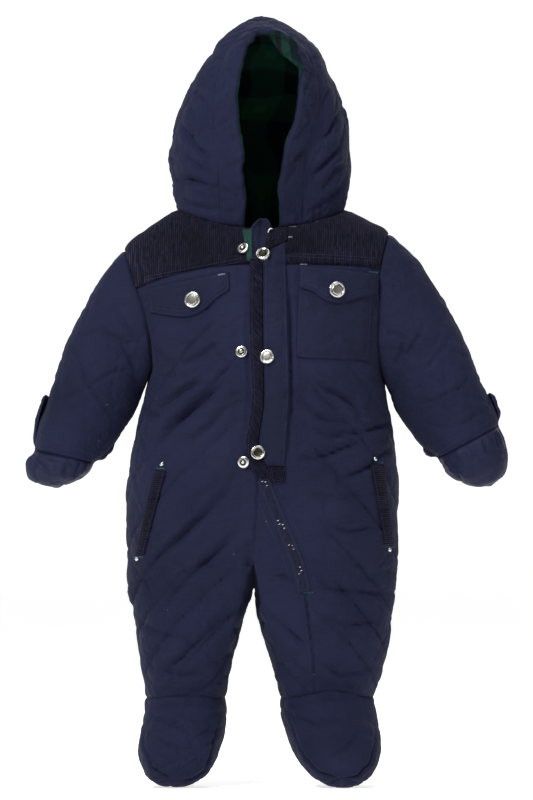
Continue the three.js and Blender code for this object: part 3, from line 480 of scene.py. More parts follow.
# Creases: points x z along the line, half width, depth; side 1 lies in front, -1 behind
CREASES = [
    # right front: from the armhole and the side towards the storm flap
    (1, 7, 4.2, [(-35, -158), (-62, -182), (-88, -202), (-110, -226)]),
    (1, 6, 3.4, [(-58, -158), (-76, -168), (-92, -180), (-104, -186)]),
    (1, 5, 2.2, [(-30, -180), (-52, -204), (-78, -222)]),
    (1, 5, 2.4, [(-119, -183), (-108, -192), (-98, -196)]),
    (1, 6, 2.6, [(-24, -258), (-52, -288), (-84, -318), (-112, -342)]),
    (1, 7, 2.2, [(-20, -302), (-48, -330), (-84, -366), (-102, -400)]),
    (1, 6, 1.8, [(-31, -384), (-58, -412), (-84, -438), (-108, -464)]),
    (1, 5, 2.4, [(-12, -312), (-14, -340), (-12, -362)]),
    (1, 5, 1.6, [(-42, -120), (-58, -134), (-84, -144)]),
    (1, 5, 1.8, [(-112, -120), (-96, -138), (-84, -158)]),
    (1, 5, 1.6, [(-118, -400), (-96, -412), (-70, -414)]),
    (1, 4, 1.6, [(-110, -444), (-82, -452), (-52, -448)]),
    # left front: from the flap across to the side
    (1, 6, 3.2, [(54, -162), (74, -172), (88, -181), (101, -201)]),
    (1, 5, 2.5, [(37, -238), (63, -233), (99, -217)]),
    (1, 5, 2.4, [(74, -258), (105, -245), (130, -222)]),
    (1, 5, 2.4, [(101, -209), (114, -205), (127, -201)]),
    (1, 5, 1.8, [(34, -176), (58, -196), (88, -202)]),
    (1, 5, 1.8, [(40, -206), (70, -214), (112, -208)]),
    (1, 5, 1.4, [(44, -268), (80, -276), (112, -270)]),
    (1, 4, 1.4, [(56, -296), (84, -308), (118, -304)]),
    (1, 6, 2.4, [(46, -344), (67, -365), (93, -369), (127, -370)]),
    (1, 5, 2.0, [(8, -356), (22, -352), (36, -360)]),
    (1, 5, 1.8, [(58, -392), (84, -402), (116, -398)]),
    (1, 5, 1.6, [(22, -404), (40, -418), (62, -430)]),
    (1, 4, 1.6, [(58, -444), (80, -452), (106, -446)]),
    (1, 4, 1.5, [(28, -428), (36, -444), (56, -456)]),
    # beside the storm flap
    (1, 3, 1.6, [(-14, -60), (-15, -108), (-12.5, -178), (-18.5, -219), (-14.5, -246)]),
    (1, 3, 2.8, [(26, -50), (28.5, -108), (29.5, -178), (26.5, -221), (25.5, -246)]),
    # right sleeve: quilting, and folds from the armpit
    (1, 3.2, 1.5, [(-190, -115), (-175, -160), (-145, -200)]),
    (1, 3.2, 1.3, [(-200, -178), (-175, -167), (-154, -153), (-124, -143)]),
    (1, 4.5, 1.6, [(-187, -118), (-160, -108), (-140, -119), (-119, -121)]),
    (1, 4.5, 1.8, [(-151, -84), (-134, -106), (-112, -128)]),
    (1, 4, 1.6, [(-140, -121), (-127, -146), (-117, -153)]),
    (1, 3, 0.9, [(-172, -66), (-160, -86), (-158, -104)]),
    (1, 3, 0.8, [(-218, -196), (-196, -204), (-168, -216)]),
    # left sleeve: quilting, and folds from the armpit
    (1, 5, 2.2, [(122, -113), (134, -112), (146, -118)]),
    (1, 4, 1.8, [(128, -146), (138, -134), (142, -118)]),
    (1, 3.6, 1.5, [(136, -143), (157, -114), (163, -98)]),
    (1, 3.2, 1.4, [(144, -153), (168, -143), (183, -123), (196, -103)]),
    (1, 3.2, 1.4, [(151, -184), (176, -176), (198, -165), (212, -150)]),
    (1, 3.2, 1.3, [(178, -208), (203, -200), (223, -188), (232, -175)]),
    (1, 3, 0.8, [(170, -73), (182, -82), (190, -94)]),
    # feet
    (1, 5, 1.6, [(-112, -492), (-92, -498), (-70, -506)]),
    (1, 4, 1.3, [(-104, -512), (-82, -524), (-62, -520)]),
    (1, 5, 1.6, [(28, -492), (52, -500), (84, -494)]),
    (1, 4, 1.3, [(98, -508), (82, -526), (66, -532)]),
    # the toes' seams
    (1, 2.4, 1.5, [(-118, -490), (-117, -522), (-108, -543), (-88, -554), (-70, -554), (-57, -545), (-49, -522),
                   (-43, -494)]),
    (1, 2.4, 1.5, [(27, -488), (36, -518), (44, -534), (56, -546), (78, -553), (94, -550), (107, -538), (112, -520),
                   (111, -490)]),
    # back: from the seat, the armholes and the knees
    (-1, 7, 3.6, [(-20, -172), (-58, -190), (-104, -184)]),
    (-1, 7, 3.2, [(16, -186), (62, -202), (112, -190)]),
    (-1, 6, 2.8, [(-16, -214), (-50, -226), (-110, -218)]),
    (-1, 6, 2.6, [(24, -228), (70, -246), (120, -236)]),
    (-1, 6, 2.4, [(-24, -264), (-64, -286), (-118, -290)]),
    (-1, 6, 2.6, [(12, -282), (58, -300), (116, -288)]),
    (-1, 7, 3.4, [(-8, -318), (-46, -344), (-98, -352)]),
    (-1, 7, 3.2, [(-4, -322), (44, -348), (96, -344)]),
    (-1, 5, 2.2, [(-110, -110), (-84, -128), (-56, -132)]),
    (-1, 5, 2.2, [(114, -104), (88, -126), (52, -134)]),
    (-1, 6, 2.6, [(-112, -408), (-80, -420), (-40, -412)]),
    (-1, 6, 2.4, [(30, -414), (66, -424), (112, -410)]),
    (-1, 5, 2.0, [(-108, -440), (-78, -452), (-46, -446)]),
    (-1, 5, 2.0, [(34, -448), (64, -456), (104, -442)]),
    (-1, 6, 2.6, [(-140, -112), (-164, -150), (-196, -160)]),
    (-1, 5, 2.2, [(-136, -160), (-166, -188), (-206, -186)]),
    (-1, 6, 2.6, [(146, -110), (172, -146), (204, -150)]),
    (-1, 5, 2.2, [(144, -166), (176, -190), (214, -180)]),
    # mitts
    (1, 3, 1.3, [(-226, -234), (-218, -243), (-207, -252)]),
    (1, 3, 1.1, [(-219, -236), (-208, -239), (-198, -241)]),
    (1, 2.5, 1.0, [(-192, -235), (-187, -246)]),
    (1, 2.5, 1.0, [(-177, -242), (-182, -254)]),
    (1, 3, 1.2, [(219, -217), (224, -232)]),
    (1, 3, 1.3, [(202, -225), (215, -234)]),
    (1, 3, 1.2, [(182, -232), (188, -242), (198, -250)]),
    (1, 2.5, 1.0, [(232, -208), (234, -226)]),
    # hood, right side and left side
    (1, 4.5, 2.8, [(-81, 102), (-66, 74), (-45, 57)]),
    (1, 4.5, 2.8, [(-88, 43), (-66, 40), (-30, 26)]),
    (1, 5, 2.2, [(-84, 20), (-58, 12), (-36, 12)]),
    (1, 5, 1.8, [(-70, 132), (-56, 118), (-48, 96)]),
    (1, 5, 1.6, [(-78, 66), (-60, 52), (-44, 46)]),
    (1, 4, 2.2, [(79, 114), (67, 89), (54, 77)]),
    (1, 4, 2.3, [(77, 74), (53, 48), (44, 39)]),
    (1, 4, 2.0, [(83, 42), (74, 30), (51, 11), (36, 2)]),
    (1, 5, 2.2, [(53, 77), (40, 68), (30, 59)]),
    (1, 5, 1.8, [(72, 140), (62, 122), (58, 100)]),
    (1, 5, 1.6, [(84, 60), (72, 52), (60, 30)]),
    (-1, 7, 3.2, [(-70, 70), (-44, 44), (0, 36)]),
    (-1, 7, 3.0, [(74, 84), (46, 54), (6, 44)]),
    (-1, 6, 2.4, [(-62, 128), (-30, 108), (0, 104)]),
    (-1, 6, 2.4, [(60, 140), (32, 122), (4, 120)]),
]


def creases(points, normals):
    """Depth of the creases: a valley with a roll of cloth along each side."""
    height = np.zeros(len(points))
    facing = np.where(normals[:, 1] < 0, 1, -1)
    xz = points[:, [0, 2]]
    for side, width, depth, line in CREASES:
        line = np.array(line, float)
        low, high = line.min(0) - 4 * width, line.max(0) + 4 * width
        near = np.nonzero((facing == side) & (xz > low).all(1) & (xz < high).all(1))[0]
        if not len(near):
            continue
        p = xz[near]
        lengths = np.linalg.norm(np.diff(line, axis=0), axis=1)
        total, done = lengths.sum(), 0.0
        best = np.full(len(p), 1e9)
        aside, place = np.zeros(len(p)), np.zeros(len(p))
        for a, b, length in zip(line[:-1], line[1:], lengths):
            direction = (b - a) / length
            t = np.clip((p - a) @ direction, 0, length)
            off = p - a - t[:, None] * direction
            distance = np.linalg.norm(off, axis=1)
            closer = distance < best
            best[closer] = distance[closer]
            aside[closer] = (off[:, 0] * direction[1] - off[:, 1] * direction[0])[closer]
            place[closer] = (done + t[closer]) / total
            done += length
        q = np.sign(aside) * best / (0.8 * width)
        taper = np.clip(np.sin(np.pi * place), 0, 1) ** 0.7
        valley = -0.7 * np.exp(-1.8 * q ** 2) - 0.55 * np.exp(-9 * q ** 2)
        rolls = 0.42 * np.exp(-((q - 1.5) ** 2) * 1.2) + 0.3 * np.exp(-((q + 1.6) ** 2) * 1.0)
        height[near] += depth * taper * (valley + rolls) * np.clip(np.abs(normals[near, 1]) * 2, 0, 1)
    return height


def new_object(name, points, faces, material, uv=None, smooth=True):
    """A mesh object in metres, from points in millimetres."""
    mesh = bpy.data.meshes.new(name)
    mesh.from_pydata((np.asarray(points) * MM).tolist(), [], faces)
    if smooth:
        mesh.shade_smooth()
    if uv is not None:
        layer = mesh.uv_layers.new(name="Cloth")
        layer.data.foreach_set("uv", np.asarray(uv, float).ravel() * MM)
    mesh.materials.append(material)
    obj = bpy.data.objects.new(name, mesh)
    bpy.context.scene.collection.objects.link(obj)
    return obj


def gather(skin, chosen):
    """The points, faces and UVs of the cells that chosen(patch) marks."""
    quads, uvs = [], []
    for patch in skin.patches:
        mask = chosen(patch)
        if mask is None or not mask.any():
            continue
        mask = mask.ravel()
        quads.append(patch.quads[mask])
        uvs.append(patch.uv.reshape(-1, 2)[patch.corners[mask]])
    quads, uvs = np.concatenate(quads), np.concatenate(uvs)
    used, local = np.unique(quads, return_inverse=True)
    return used, local.reshape(quads.shape), uvs


def without_repeats(faces, uvs):
    kept, kept_uv = [], []
    for face, uv in zip(faces.tolist(), uvs.tolist()):
        at = [k for k in range(4) if face[k] != face[k - 1]]
        if len(at) < 3:
            continue
        kept.append([face[k] for k in at])
        kept_uv += [uv[k] for k in at]
    return kept, kept_uv


def boundary(faces):
    """Vertices on the open edges of some faces."""
    edges = np.concatenate([faces[:, [k, (k + 1) % 4]] for k in range(4)])
    edges = edges[edges[:, 0] != edges[:, 1]]
    edges = np.sort(edges, axis=1)
    unique, counts = np.unique(edges, axis=0, return_counts=True)
    return np.unique(unique[counts == 1])


def from_edge(points, edge, reach=40):
    """Distance of each point from the edge's points, and the mean of the nearest of them."""
    tree = kdtree.KDTree(len(edge))
    for i, point in enumerate(edge):
        tree.insert(Vector(point), i)
    tree.balance()
    distance = np.full(len(points), float(reach))
    nearest = points.copy()
    for i, point in enumerate(points):
        found = tree.find_n(Vector(point), 3)
        first = found[0][2]
        if first > reach:
            continue
        distance[i] = first
        weights = np.array([1 / (f[2] + 0.5) for f in found])
        nearest[i] = (np.array([f[0] for f in found]) * weights[:, None]).sum(0) / weights.sum()
    return distance, nearest


SEAM_LEVEL = -1.9  # height of the cloth at its seams; at the hood and the ankles they are shallower
SHALLOW_SEAM = -0.9


def sewn_down(height, distance, points):
    """Brings the height to one level at the seams, the same for the pieces on both sides."""
    z = points[:, 2]
    level = lerp(SHALLOW_SEAM, SEAM_LEVEL, smoothstep(z, -478, -440) * smoothstep(-z, -24, -6))
    return level + (height - level) * (1 - np.exp(-((distance / 1.5) ** 2)))


PUFF = 3.6  # height of the padding between the quilting's lines
FLAT = [(-26, -264, 48, 10), (-118, -98, -28, -48), (30, -142, 120, -42), (-22, -376, 66, -250)]


def pressed(points):
    """1 where what is sewn on presses the quilting flat."""
    flat = np.zeros(len(points))
    for x0, z0, x1, z1 in FLAT:
        inside = np.minimum(
            np.minimum(points[:, 0] - x0, x1 - points[:, 0]),
            np.minimum(points[:, 2] - z0, z1 - points[:, 2]),
        )
        flat = np.maximum(flat, smoothstep(inside, -8, 4))
    return np.where(points[:, 1] < 0, flat, 0)


ARMPITS = [trunk_point(np.array(float(ARM_TO)), np.array(np.pi / 2), side) for side in (RIGHT, LEFT)]


def under_arm(points):
    distance = np.min([np.linalg.norm(points - armpit, axis=1) for armpit in ARMPITS], axis=0)
    return smoothstep(distance, 15, 60)


def padded_height(points, normals, uv, distance, nearest, rows, puff=PUFF, soft=1.0, pucker=1.0, lead=1,
                  cross=0.3, ease=8.0):
    """Height of padded cloth: puffed between its seams and quilting, creased, and puckered along its seams."""
    free = under_arm(points)
    inside = 1 - np.exp(-((distance / ease) ** 1.3))
    padding, line = quilting(points, uv, lead, cross)
    quilted = (1 - pressed(points)) * free
    height = puff * (padding * quilted * inside - 0.25) + inside * lerp(3.4, 1.2, free)
    height -= 0.48 * puff * quilted * inside * line
    height += 1.7 * creases(points, normals) * soft * inside * lerp(0.35, 1, free)
    height -= 1.9 * soft * wrinkles(points, (44, 30, 11), 81) * inside * lerp(0.5, 1, quilted)
    height -= 1.1 * soft * wrinkles(points, (20, 14, 6), 85) * inside
    height += 0.8 * soft * inside * rough(points, (46, 46, 22), 3)
    height += 0.3 * soft * rough(points, (13, 13, 8), 5)
    # Puckers run straight in from the seams and, weaker, from the quilting's lines
    gathers = rough(nearest, (6.5, 6.5, 6.5), 11) + 0.6 * rough(nearest, (3.6, 3.6, 3.6), 17)
    strength = 0.7 + 0.9 * np.clip(rough(nearest, (40, 40, 40), 13), -0.6, 1)
    height += pucker * strength * gathers * np.exp(-((distance - 3) / 7) ** 2)
    height += 0.5 * puff / PUFF * rough(points, (6, 6, 6), 19) * line * quilted
    return height


def dress(obj, node, slot, thickness=1.4):
    """Gives a sheet its thickness and puts it in the place of a solid."""
    if thickness:
        solid = obj.modifiers.new("Thickness", "SOLIDIFY")
        solid.thickness = thickness * MM
        solid.offset = -1
    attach(obj, "root")
    if node:
        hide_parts(node)
    return obj


def uncut(points):
    """Points of the front's centre below the storm flap, where one cloth runs on over the solids' edge."""
    x, y, z = points.T
    middle = np.interp(-z, -TRUNK["zFront"], TRUNK["centre"])
    return (y < 0) & (np.abs(x - middle) < 1.5) & (z < -256) & (z > -366)


def clothe(node, skin, chosen, cloth, height, seam=None, other=None, upright=False, shift=None):
    """Cloth over some cells of a skin. A seam splits it, and other is then the node of the cells inside it."""
    material, slot = cloth
    used, faces, uvs = gather(skin, chosen)
    points, normals, uv = skin.points[used], skin.normals[used], skin.uv[used]
    if upright:
        rise = points[:, 2] - np.abs(points[:, 1])
        uvs = np.stack([points[:, 0], rise], -1)[faces]
    edge = points[boundary(faces)]
    edge = edge[~uncut(edge)]
    if seam is not None:
        on_seam = kdtree.KDTree(len(points))
        for i, (x, y, z) in enumerate(points):
            on_seam.insert(Vector((x, 0 if y < 0 else 500, z)), i)
        on_seam.balance()
        nearby = [on_seam.find(Vector((x, 0, z)))[1] for x, z in seam]
        edge = np.concatenate([edge, [(x, points[i][1], z) for (x, z), i in zip(seam, nearby)]])
    distance, nearest = from_edge(points, edge)
    rows = skin.rows[used]
    raised = sewn_down(height(points, normals, uv, distance, nearest, rows), distance, points)
    if shift:
        raised += shift(points, normals, rows)
    shifted = points + normals * raised[:, None]
    middle = points[faces].mean(1)
    groups = [(node, np.ones(len(faces), bool))]
    if seam is not None:
        inside = (middle[:, 1] < 0) & (middle[:, 2] < seam[0][1]) & (
            middle[:, 0] < np.interp(-middle[:, 2], -seam[:, 1], seam[:, 0]))
        groups = [(node, ~inside), (other, inside)]
    made = []
    for name, mask in groups:
        taken, local = np.unique(faces[mask], return_inverse=True)
        kept, kept_uv = without_repeats(local.reshape(-1, 4), uvs[mask])
        obj = new_object(f"{name}_cloth", shifted[taken], kept, material, kept_uv)
        made.append(dress(obj, name, slot))
    return made


# Materials
def nodes_of(name, color, roughness, metallic=0.0):
    material = bpy.data.materials.new(name)
    material.use_nodes = True
    tree = material.node_tree
    shader = tree.nodes["Principled BSDF"]
    shader.inputs["Base Color"].default_value = (*color, 1)
    shader.inputs["Roughness"].default_value = roughness
    shader.inputs["Metallic"].default_value = metallic
    material.diffuse_color = (*color, 1)
    return material, tree, shader


def srgb(red, green, blue):
    values = np.array([red, green, blue]) / 255
    return tuple(np.where(values <= 0.04045, values / 12.92, ((values + 0.055) / 1.055) ** 2.4).tolist())


def add(tree, kind, **settings):
    node = tree.nodes.new(kind)
    for key, value in settings.items():
        setattr(node, key, value)
    return node


def math_node(tree, operation, a, b=None, clamp=False):
    node = add(tree, "ShaderNodeMath", operation=operation, use_clamp=clamp)
    for socket, value in zip(node.inputs, (a, b)):
        if value is None:
            continue
        if isinstance(value, (int, float)):
            socket.default_value = value
        else:
            tree.links.new(value, socket)
    return node.outputs[0]


def mix_colors(tree, factor, a, b, blend="MIX"):
    node = add(tree, "ShaderNodeMix", data_type="RGBA", blend_type=blend)
    for socket, value in ((node.inputs["Factor"], factor), (node.inputs[6], a), (node.inputs[7], b)):
        if isinstance(value, (int, float)):
            socket.default_value = value
        elif isinstance(value, tuple):
            socket.default_value = (*value, 1)
        else:
            tree.links.new(value, socket)
    return node.outputs[2]


def cloth_coordinates(tree):
    """The cloth's own coordinates in metres, across and down the piece."""
    uv = add(tree, "ShaderNodeUVMap", uv_map="Cloth")
    split = add(tree, "ShaderNodeSeparateXYZ")
    tree.links.new(uv.outputs[0], split.inputs[0])
    return uv.outputs[0], split.outputs[0], split.outputs[1]


def ramp(tree, value, low, high):
    node = add(tree, "ShaderNodeMapRange")
    tree.links.new(value, node.inputs["Value"])
    for name, number in zip(("From Min", "From Max", "To Min", "To Max"), (low[0], high[0], low[1], high[1])):
        node.inputs[name].default_value = number
    return node.outputs["Result"]


def noise_of(tree, vector, scale, detail=3.0, roughness=0.55):
    node = add(tree, "ShaderNodeTexNoise")
    node.inputs["Scale"].default_value = scale
    node.inputs["Detail"].default_value = detail
    node.inputs["Roughness"].default_value = roughness
    if vector is not None:
        tree.links.new(vector, node.inputs["Vector"])
    return node.outputs["Fac"]


def wave(tree, coordinate, pitch):
    """A rounded ridge from 0 to 1 every pitch metres."""
    turned = math_node(tree, "MULTIPLY", coordinate, 2 * math.pi / pitch)
    return math_node(tree, "MULTIPLY_ADD", math_node(tree, "SINE", turned), 0.5)


def bump(tree, shader, height, distance, strength=1.0, before=None):
    node = add(tree, "ShaderNodeBump")
    node.inputs["Strength"].default_value = strength
    node.inputs["Distance"].default_value = distance
    tree.links.new(height, node.inputs["Height"])
    if before is not None:
        tree.links.new(before, node.inputs["Normal"])
    if shader is not None:
        tree.links.new(node.outputs[0], shader.inputs["Normal"])
    return node.outputs[0]


def object_place(tree):
    return add(tree, "ShaderNodeTexCoord").outputs["Object"]


CLOTH_SHINE = 0.1  # specular level of plain cloth


def woven(name, light, dark, roughness, thread=0.0007, relief=0.00012, sheen=0.03, speckle=True,
          shine=CLOTH_SHINE):
    """Plain weave with faint slubs, a little lint and uneven dye."""
    material, tree, shader = nodes_of(name, light, roughness)
    uv, across, down = cloth_coordinates(tree)
    place = object_place(tree)
    patches = ramp(tree, noise_of(tree, place, 9, 4, 0.6), (0.35, 0.0), (0.7, 1.0))
    color = mix_colors(tree, patches, light, dark)
    slubs = add(tree, "ShaderNodeMapping")
    slubs.inputs["Scale"].default_value = (60, 900, 1)
    tree.links.new(uv, slubs.inputs["Vector"])
    streak = ramp(tree, noise_of(tree, slubs.outputs[0], 1, 2, 0.5), (0.3, 0.88), (0.7, 1.1))
    color = mix_colors(tree, 1.0, color, streak, "MULTIPLY")
    if speckle:
        lint = add(tree, "ShaderNodeTexVoronoi")
        lint.inputs["Scale"].default_value = 95
        tree.links.new(place, lint.inputs["Vector"])
        dots = math_node(tree, "LESS_THAN", lint.outputs["Distance"], 0.055)
        rare = math_node(tree, "GREATER_THAN", noise_of(tree, place, 41, 1, 0.5), 0.66)
        flecks = math_node(tree, "MULTIPLY", math_node(tree, "MULTIPLY", dots, rare), 0.35)
        color = mix_colors(tree, flecks, color, srgb(150, 152, 165))
    tree.links.new(color, shader.inputs["Base Color"])
    weave = math_node(tree, "MULTIPLY", wave(tree, across, thread), wave(tree, down, thread))
    fine = bump(tree, None, weave, relief)
    crumple = noise_of(tree, place, 120, 5, 0.6)
    bump(tree, shader, crumple, 0.003, 0.8, fine)
    rough_map = ramp(tree, noise_of(tree, place, 25, 3), (0.3, roughness - 0.06), (0.7, roughness + 0.06))
    tree.links.new(rough_map, shader.inputs["Roughness"])
    shader.inputs["Specular IOR Level"].default_value = shine
    shader.inputs["Sheen Weight"].default_value = sheen
    shader.inputs["Sheen Roughness"].default_value = 0.45
    shader.inputs["Sheen Tint"].default_value = (0.5, 0.55, 0.8, 1)
    return material


def corduroy(name, light, dark, pitch=0.0021):
    """Fine wales across the cloth's first coordinate: worn and broken on their crests, with painted shade in the dark
    colour between them.
    """
    material, tree, shader = nodes_of(name, light, 0.92)
    uv, across, down = cloth_coordinates(tree)
    place = object_place(tree)
    drift = math_node(tree, "MULTIPLY", noise_of(tree, place, 28, 2), 0.0024)
    wale = wave(tree, math_node(tree, "ADD", across, drift), pitch)
    stretched = add(tree, "ShaderNodeMapping")
    stretched.inputs["Scale"].default_value = (420, 70, 1)
    tree.links.new(uv, stretched.inputs["Vector"])
    broken = ramp(tree, noise_of(tree, stretched.outputs[0], 1, 3, 0.65), (0.38, 0.0), (0.62, 1.0))
    crest = math_node(tree, "MULTIPLY", wale, broken)
    worn = ramp(tree, noise_of(tree, place, 26, 4, 0.6), (0.35, 0.25), (0.68, 1.0))
    # The dark colour between the wales is painted shade in their valleys
    color = mix_colors(tree, math_node(tree, "MULTIPLY", crest, worn), dark, light)
    tree.links.new(color, shader.inputs["Base Color"])
    pile = math_node(tree, "MULTIPLY", noise_of(tree, place, 900, 2, 0.6), 0.3)
    bump(tree, shader, math_node(tree, "ADD", crest, pile), 0.0011, 1.0)
    shader.inputs["Specular IOR Level"].default_value = 0.08
    shader.inputs["Sheen Weight"].default_value = 0.06
    shader.inputs["Sheen Roughness"].default_value = 0.4
    shader.inputs["Sheen Tint"].default_value = (0.5, 0.45, 0.75, 1)
    return material


def tartan(name, ground, stripe, line):
    """Broad dark stripes both ways on green, with a fine pale line, woven in twill."""
    material, tree, shader = nodes_of(name, ground, 0.9)
    uv, across, down = cloth_coordinates(tree)
    sett = 0.062

    def stripes(coordinate):
        turned = math_node(tree, "FRACT", math_node(tree, "DIVIDE", coordinate, sett))
        aside = math_node(tree, "ABSOLUTE", math_node(tree, "SUBTRACT", turned, 0.5))
        return ramp(tree, aside, (0.22, 1.0), (0.26, 0.0)), ramp(tree, aside, (0.39, 0.0), (0.41, 1.0))

    broad_a, thin_a = stripes(across)
    broad_b, thin_b = stripes(down)
    both = math_node(tree, "MULTIPLY", math_node(tree, "ADD", broad_a, broad_b), 0.48)
    color = mix_colors(tree, both, ground, stripe)
    thin = math_node(tree, "MULTIPLY", math_node(tree, "MULTIPLY", thin_a, thin_b), 0.5)
    color = mix_colors(tree, thin, color, line)
    twill = wave(tree, math_node(tree, "ADD", across, down), 0.0011)
    shade = ramp(tree, twill, (0.0, 0.8), (1.0, 1.1))
    color = mix_colors(tree, 1.0, color, shade, "MULTIPLY")
    tree.links.new(color, shader.inputs["Base Color"])
    bump(tree, shader, twill, 0.00015)
    shader.inputs["Specular IOR Level"].default_value = 0.04
    shader.inputs["Sheen Weight"].default_value = 0.01
    return material


def metal(name, color, roughness):
    material, tree, shader = nodes_of(name, color, roughness, 1.0)
    place = object_place(tree)
    stretched = add(tree, "ShaderNodeMapping")
    stretched.inputs["Scale"].default_value = (2400, 2400, 260)
    tree.links.new(place, stretched.inputs["Vector"])
    grain = noise_of(tree, stretched.outputs[0], 1, 2)
    rough_map = ramp(tree, grain, (0.3, max(roughness - 0.08, 0.05)), (0.7, roughness + 0.12))
    tree.links.new(rough_map, shader.inputs["Roughness"])
    bump(tree, shader, grain, 0.00004)
    tarnish = ramp(tree, noise_of(tree, place, 300, 3), (0.3, 0.8), (0.7, 1.05))
    tree.links.new(mix_colors(tree, 1.0, color, tarnish, "MULTIPLY"), shader.inputs["Base Color"])
    return material


SHELL = woven("shell", srgb(22, 25, 48), srgb(16, 19, 39), 0.78)
CORDUROY = corduroy("corduroy", srgb(37, 34, 60), srgb(6, 6, 14))
NYLON = woven("nylon", srgb(23, 26, 50), srgb(18, 20, 42), 0.5, 0.0005, 0.00006, 0.02, shine=0.1)
SOLE = woven("sole", srgb(25, 28, 52), srgb(20, 22, 43), 0.7, 0.0009, 0.00012, 0.02)
TARTAN = tartan("tartan", srgb(24, 64, 50), srgb(13, 15, 27), srgb(40, 82, 64))
# A darker copy of the lining's tartan for its rolled-out edge: painted shade
SHADED_LINING = tartan("shaded_lining", srgb(16, 42, 38), srgb(9, 20, 24), srgb(22, 52, 46))
FACING = woven("facing", srgb(26, 54, 46), srgb(20, 42, 38), 0.8, speckle=False)
# A darker copy of the shell cloth for the pieces laid on the front: painted shade
SHADED_SHELL = woven("shaded_shell", srgb(20, 23, 44), srgb(15, 17, 35), 0.78)
TAPE_CLOTH = woven("zip_tape", srgb(24, 27, 48), srgb(19, 21, 39), 0.7, 0.0009, 0.0002, 0.03, False)
TEETH = metal("teeth", srgb(38, 40, 58), 0.5)
NICKEL = metal("nickel", srgb(186, 185, 182), 0.2)
DULL_NICKEL = metal("dull_nickel", srgb(112, 111, 106), 0.34)
DARK_NICKEL = metal("dark_nickel", srgb(44, 42, 36), 0.45)
THREAD = woven("thread", srgb(36, 40, 72), srgb(28, 32, 60), 0.6, 0.0004, 0.0001, 0.05, False)
TACK = woven("tack", srgb(40, 92, 84), srgb(52, 74, 92), 0.6, 0.0004, 0.0001, 0.05, False)
PALE_TACK = woven("pale_tack", srgb(120, 124, 150), srgb(92, 96, 124), 0.6, 0.0004, 0.0001, 0.05, False)

EPS = 1e-6
OUTER = 2 * COLUMNS
INSIDE_FRONT = OUTER + INSIDE_LEG / 2


def front_of_leg(patch):
    return (patch.cell_column < COLUMNS - EPS) | (patch.cell_column >= INSIDE_FRONT - EPS)


def sole(patch):
    return (patch.cell_row >= 4.7) & (patch.cell_column >= 10 - EPS) & (patch.cell_column < OUTER - EPS)


def rows_from(patch, row):
    return patch.cell_row >= row - EPS


def chosen_body(piece, hand):
    def choose(patch):
        trunk = {f"front_{hand}": "front", f"back_{hand}": "back"}.get(patch.name)
        leg = patch.name == f"leg_{hand}"
        if piece == "yoke_front":
            return ~rows_from(patch, YOKE) if trunk == "front" else None
        if piece in ("front", "back"):
            if trunk == piece:
                return rows_from(patch, YOKE)
            if leg:
                front = front_of_leg(patch)
                return ~rows_from(patch, ANKLE) & (front if piece == "front" else ~front)
        if piece == "foot_upper" and leg:
            return rows_from(patch, ANKLE) & ~sole(patch)
        if piece == "foot_sole" and leg:
            return rows_from(patch, ANKLE) & sole(patch)
        if piece == "sleeve" and patch.name == f"sleeve_{hand}":
            return ~rows_from(patch, CUFF)
        if piece == "mitt" and patch.name == f"sleeve_{hand}":
            behind = (patch.cell_row >= MITT_TOP) & (patch.cell_column >= RING / 2 - EPS)
            return rows_from(patch, CUFF) | behind
        return None

    return choose


def yoke_back(patch):
    return ~rows_from(patch, YOKE) if patch.name.startswith("back_") else None


def yoke_height(points, normals, uv, distance, nearest, rows):
    inside = 1 - np.exp(-((distance / 6) ** 1.3))
    height = 1.4 * inside + 0.7 * inside * rough(points, (24, 24, 16), 23)
    gathers = rough(nearest, (6.5, 6.5, 6.5), 29)
    height += 0.5 * gathers * np.exp(-((distance - 4) / 5) ** 2)
    return height + 0.5 * creases(points, normals) * inside


def plain_height(points, normals, uv, distance, nearest, rows):
    return padded_height(points, normals, uv, distance, nearest, rows, puff=0.4, soft=0.9, pucker=0.8, ease=5)


def sleeve_height(points, normals, uv, distance, nearest, rows):
    puff = np.where(normals[:, 1] < 0, 1.0, 2.2)
    return padded_height(points, normals, uv, distance, nearest, rows, puff=puff, soft=0.8, cross=0.75)


TOP_SINK = 3.5  # the padding lies lower on the top of the hood


def hood_height(points, normals, uv, distance, nearest, rows):
    height = padded_height(points, normals, uv * 1.3, distance, nearest, rows, puff=2.8, soft=1.2, pucker=1.5,
                           lead=-1, cross=0.4, ease=11)
    # Gathers rise from the neck
    rising = rough(points * (1, 1, 0.25), (11, 11, 11), 91)
    height += 1.6 * rising * np.exp(-(np.clip(points[:, 2] - 10, 0, None) / 26) ** 2)
    return height - 1.9 * wrinkles(points, (30, 24, 5), 101) * lerp(0.4, 1, smoothstep(-points[:, 2], -150, -20))


BACK_FLAP = 4.8  # how far the mitt's back stands off the sleeve that it is turned over


def nylon_height(points, normals, uv, distance, nearest, rows):
    inside = 1 - np.exp(-((distance / 7) ** 1.2))
    pleats = rough(nearest, (5.5, 5.5, 5.5), 31) + 0.6 * rough(nearest, (3.2, 3.2, 3.2), 37)
    height = 1.8 * inside + 2.6 * pleats * np.exp(-((distance - 4) / 12) ** 2) * inside
    height += 1.2 * inside * rough(points, (12, 12, 12), 41) - 2.2 * inside * wrinkles(points, (22, 22, 9), 87)
    height += 1.7 * creases(points, normals) * inside
    return height


def back_flap(points, normals, rows):
    """How far the mitt's back stands off the sleeve."""
    inner = smoothstep(-normals[:, 0] * np.sign(points[:, 0]), 0.1, 0.8)
    return (BACK_FLAP + 1.5) * lerp(1, 0.5, inner) * smoothstep(CUFF - rows, 0, 0.6)


def top_of_hood(points, normals, rows):
    return -TOP_SINK * smoothstep(points[:, 2], 165, 206)


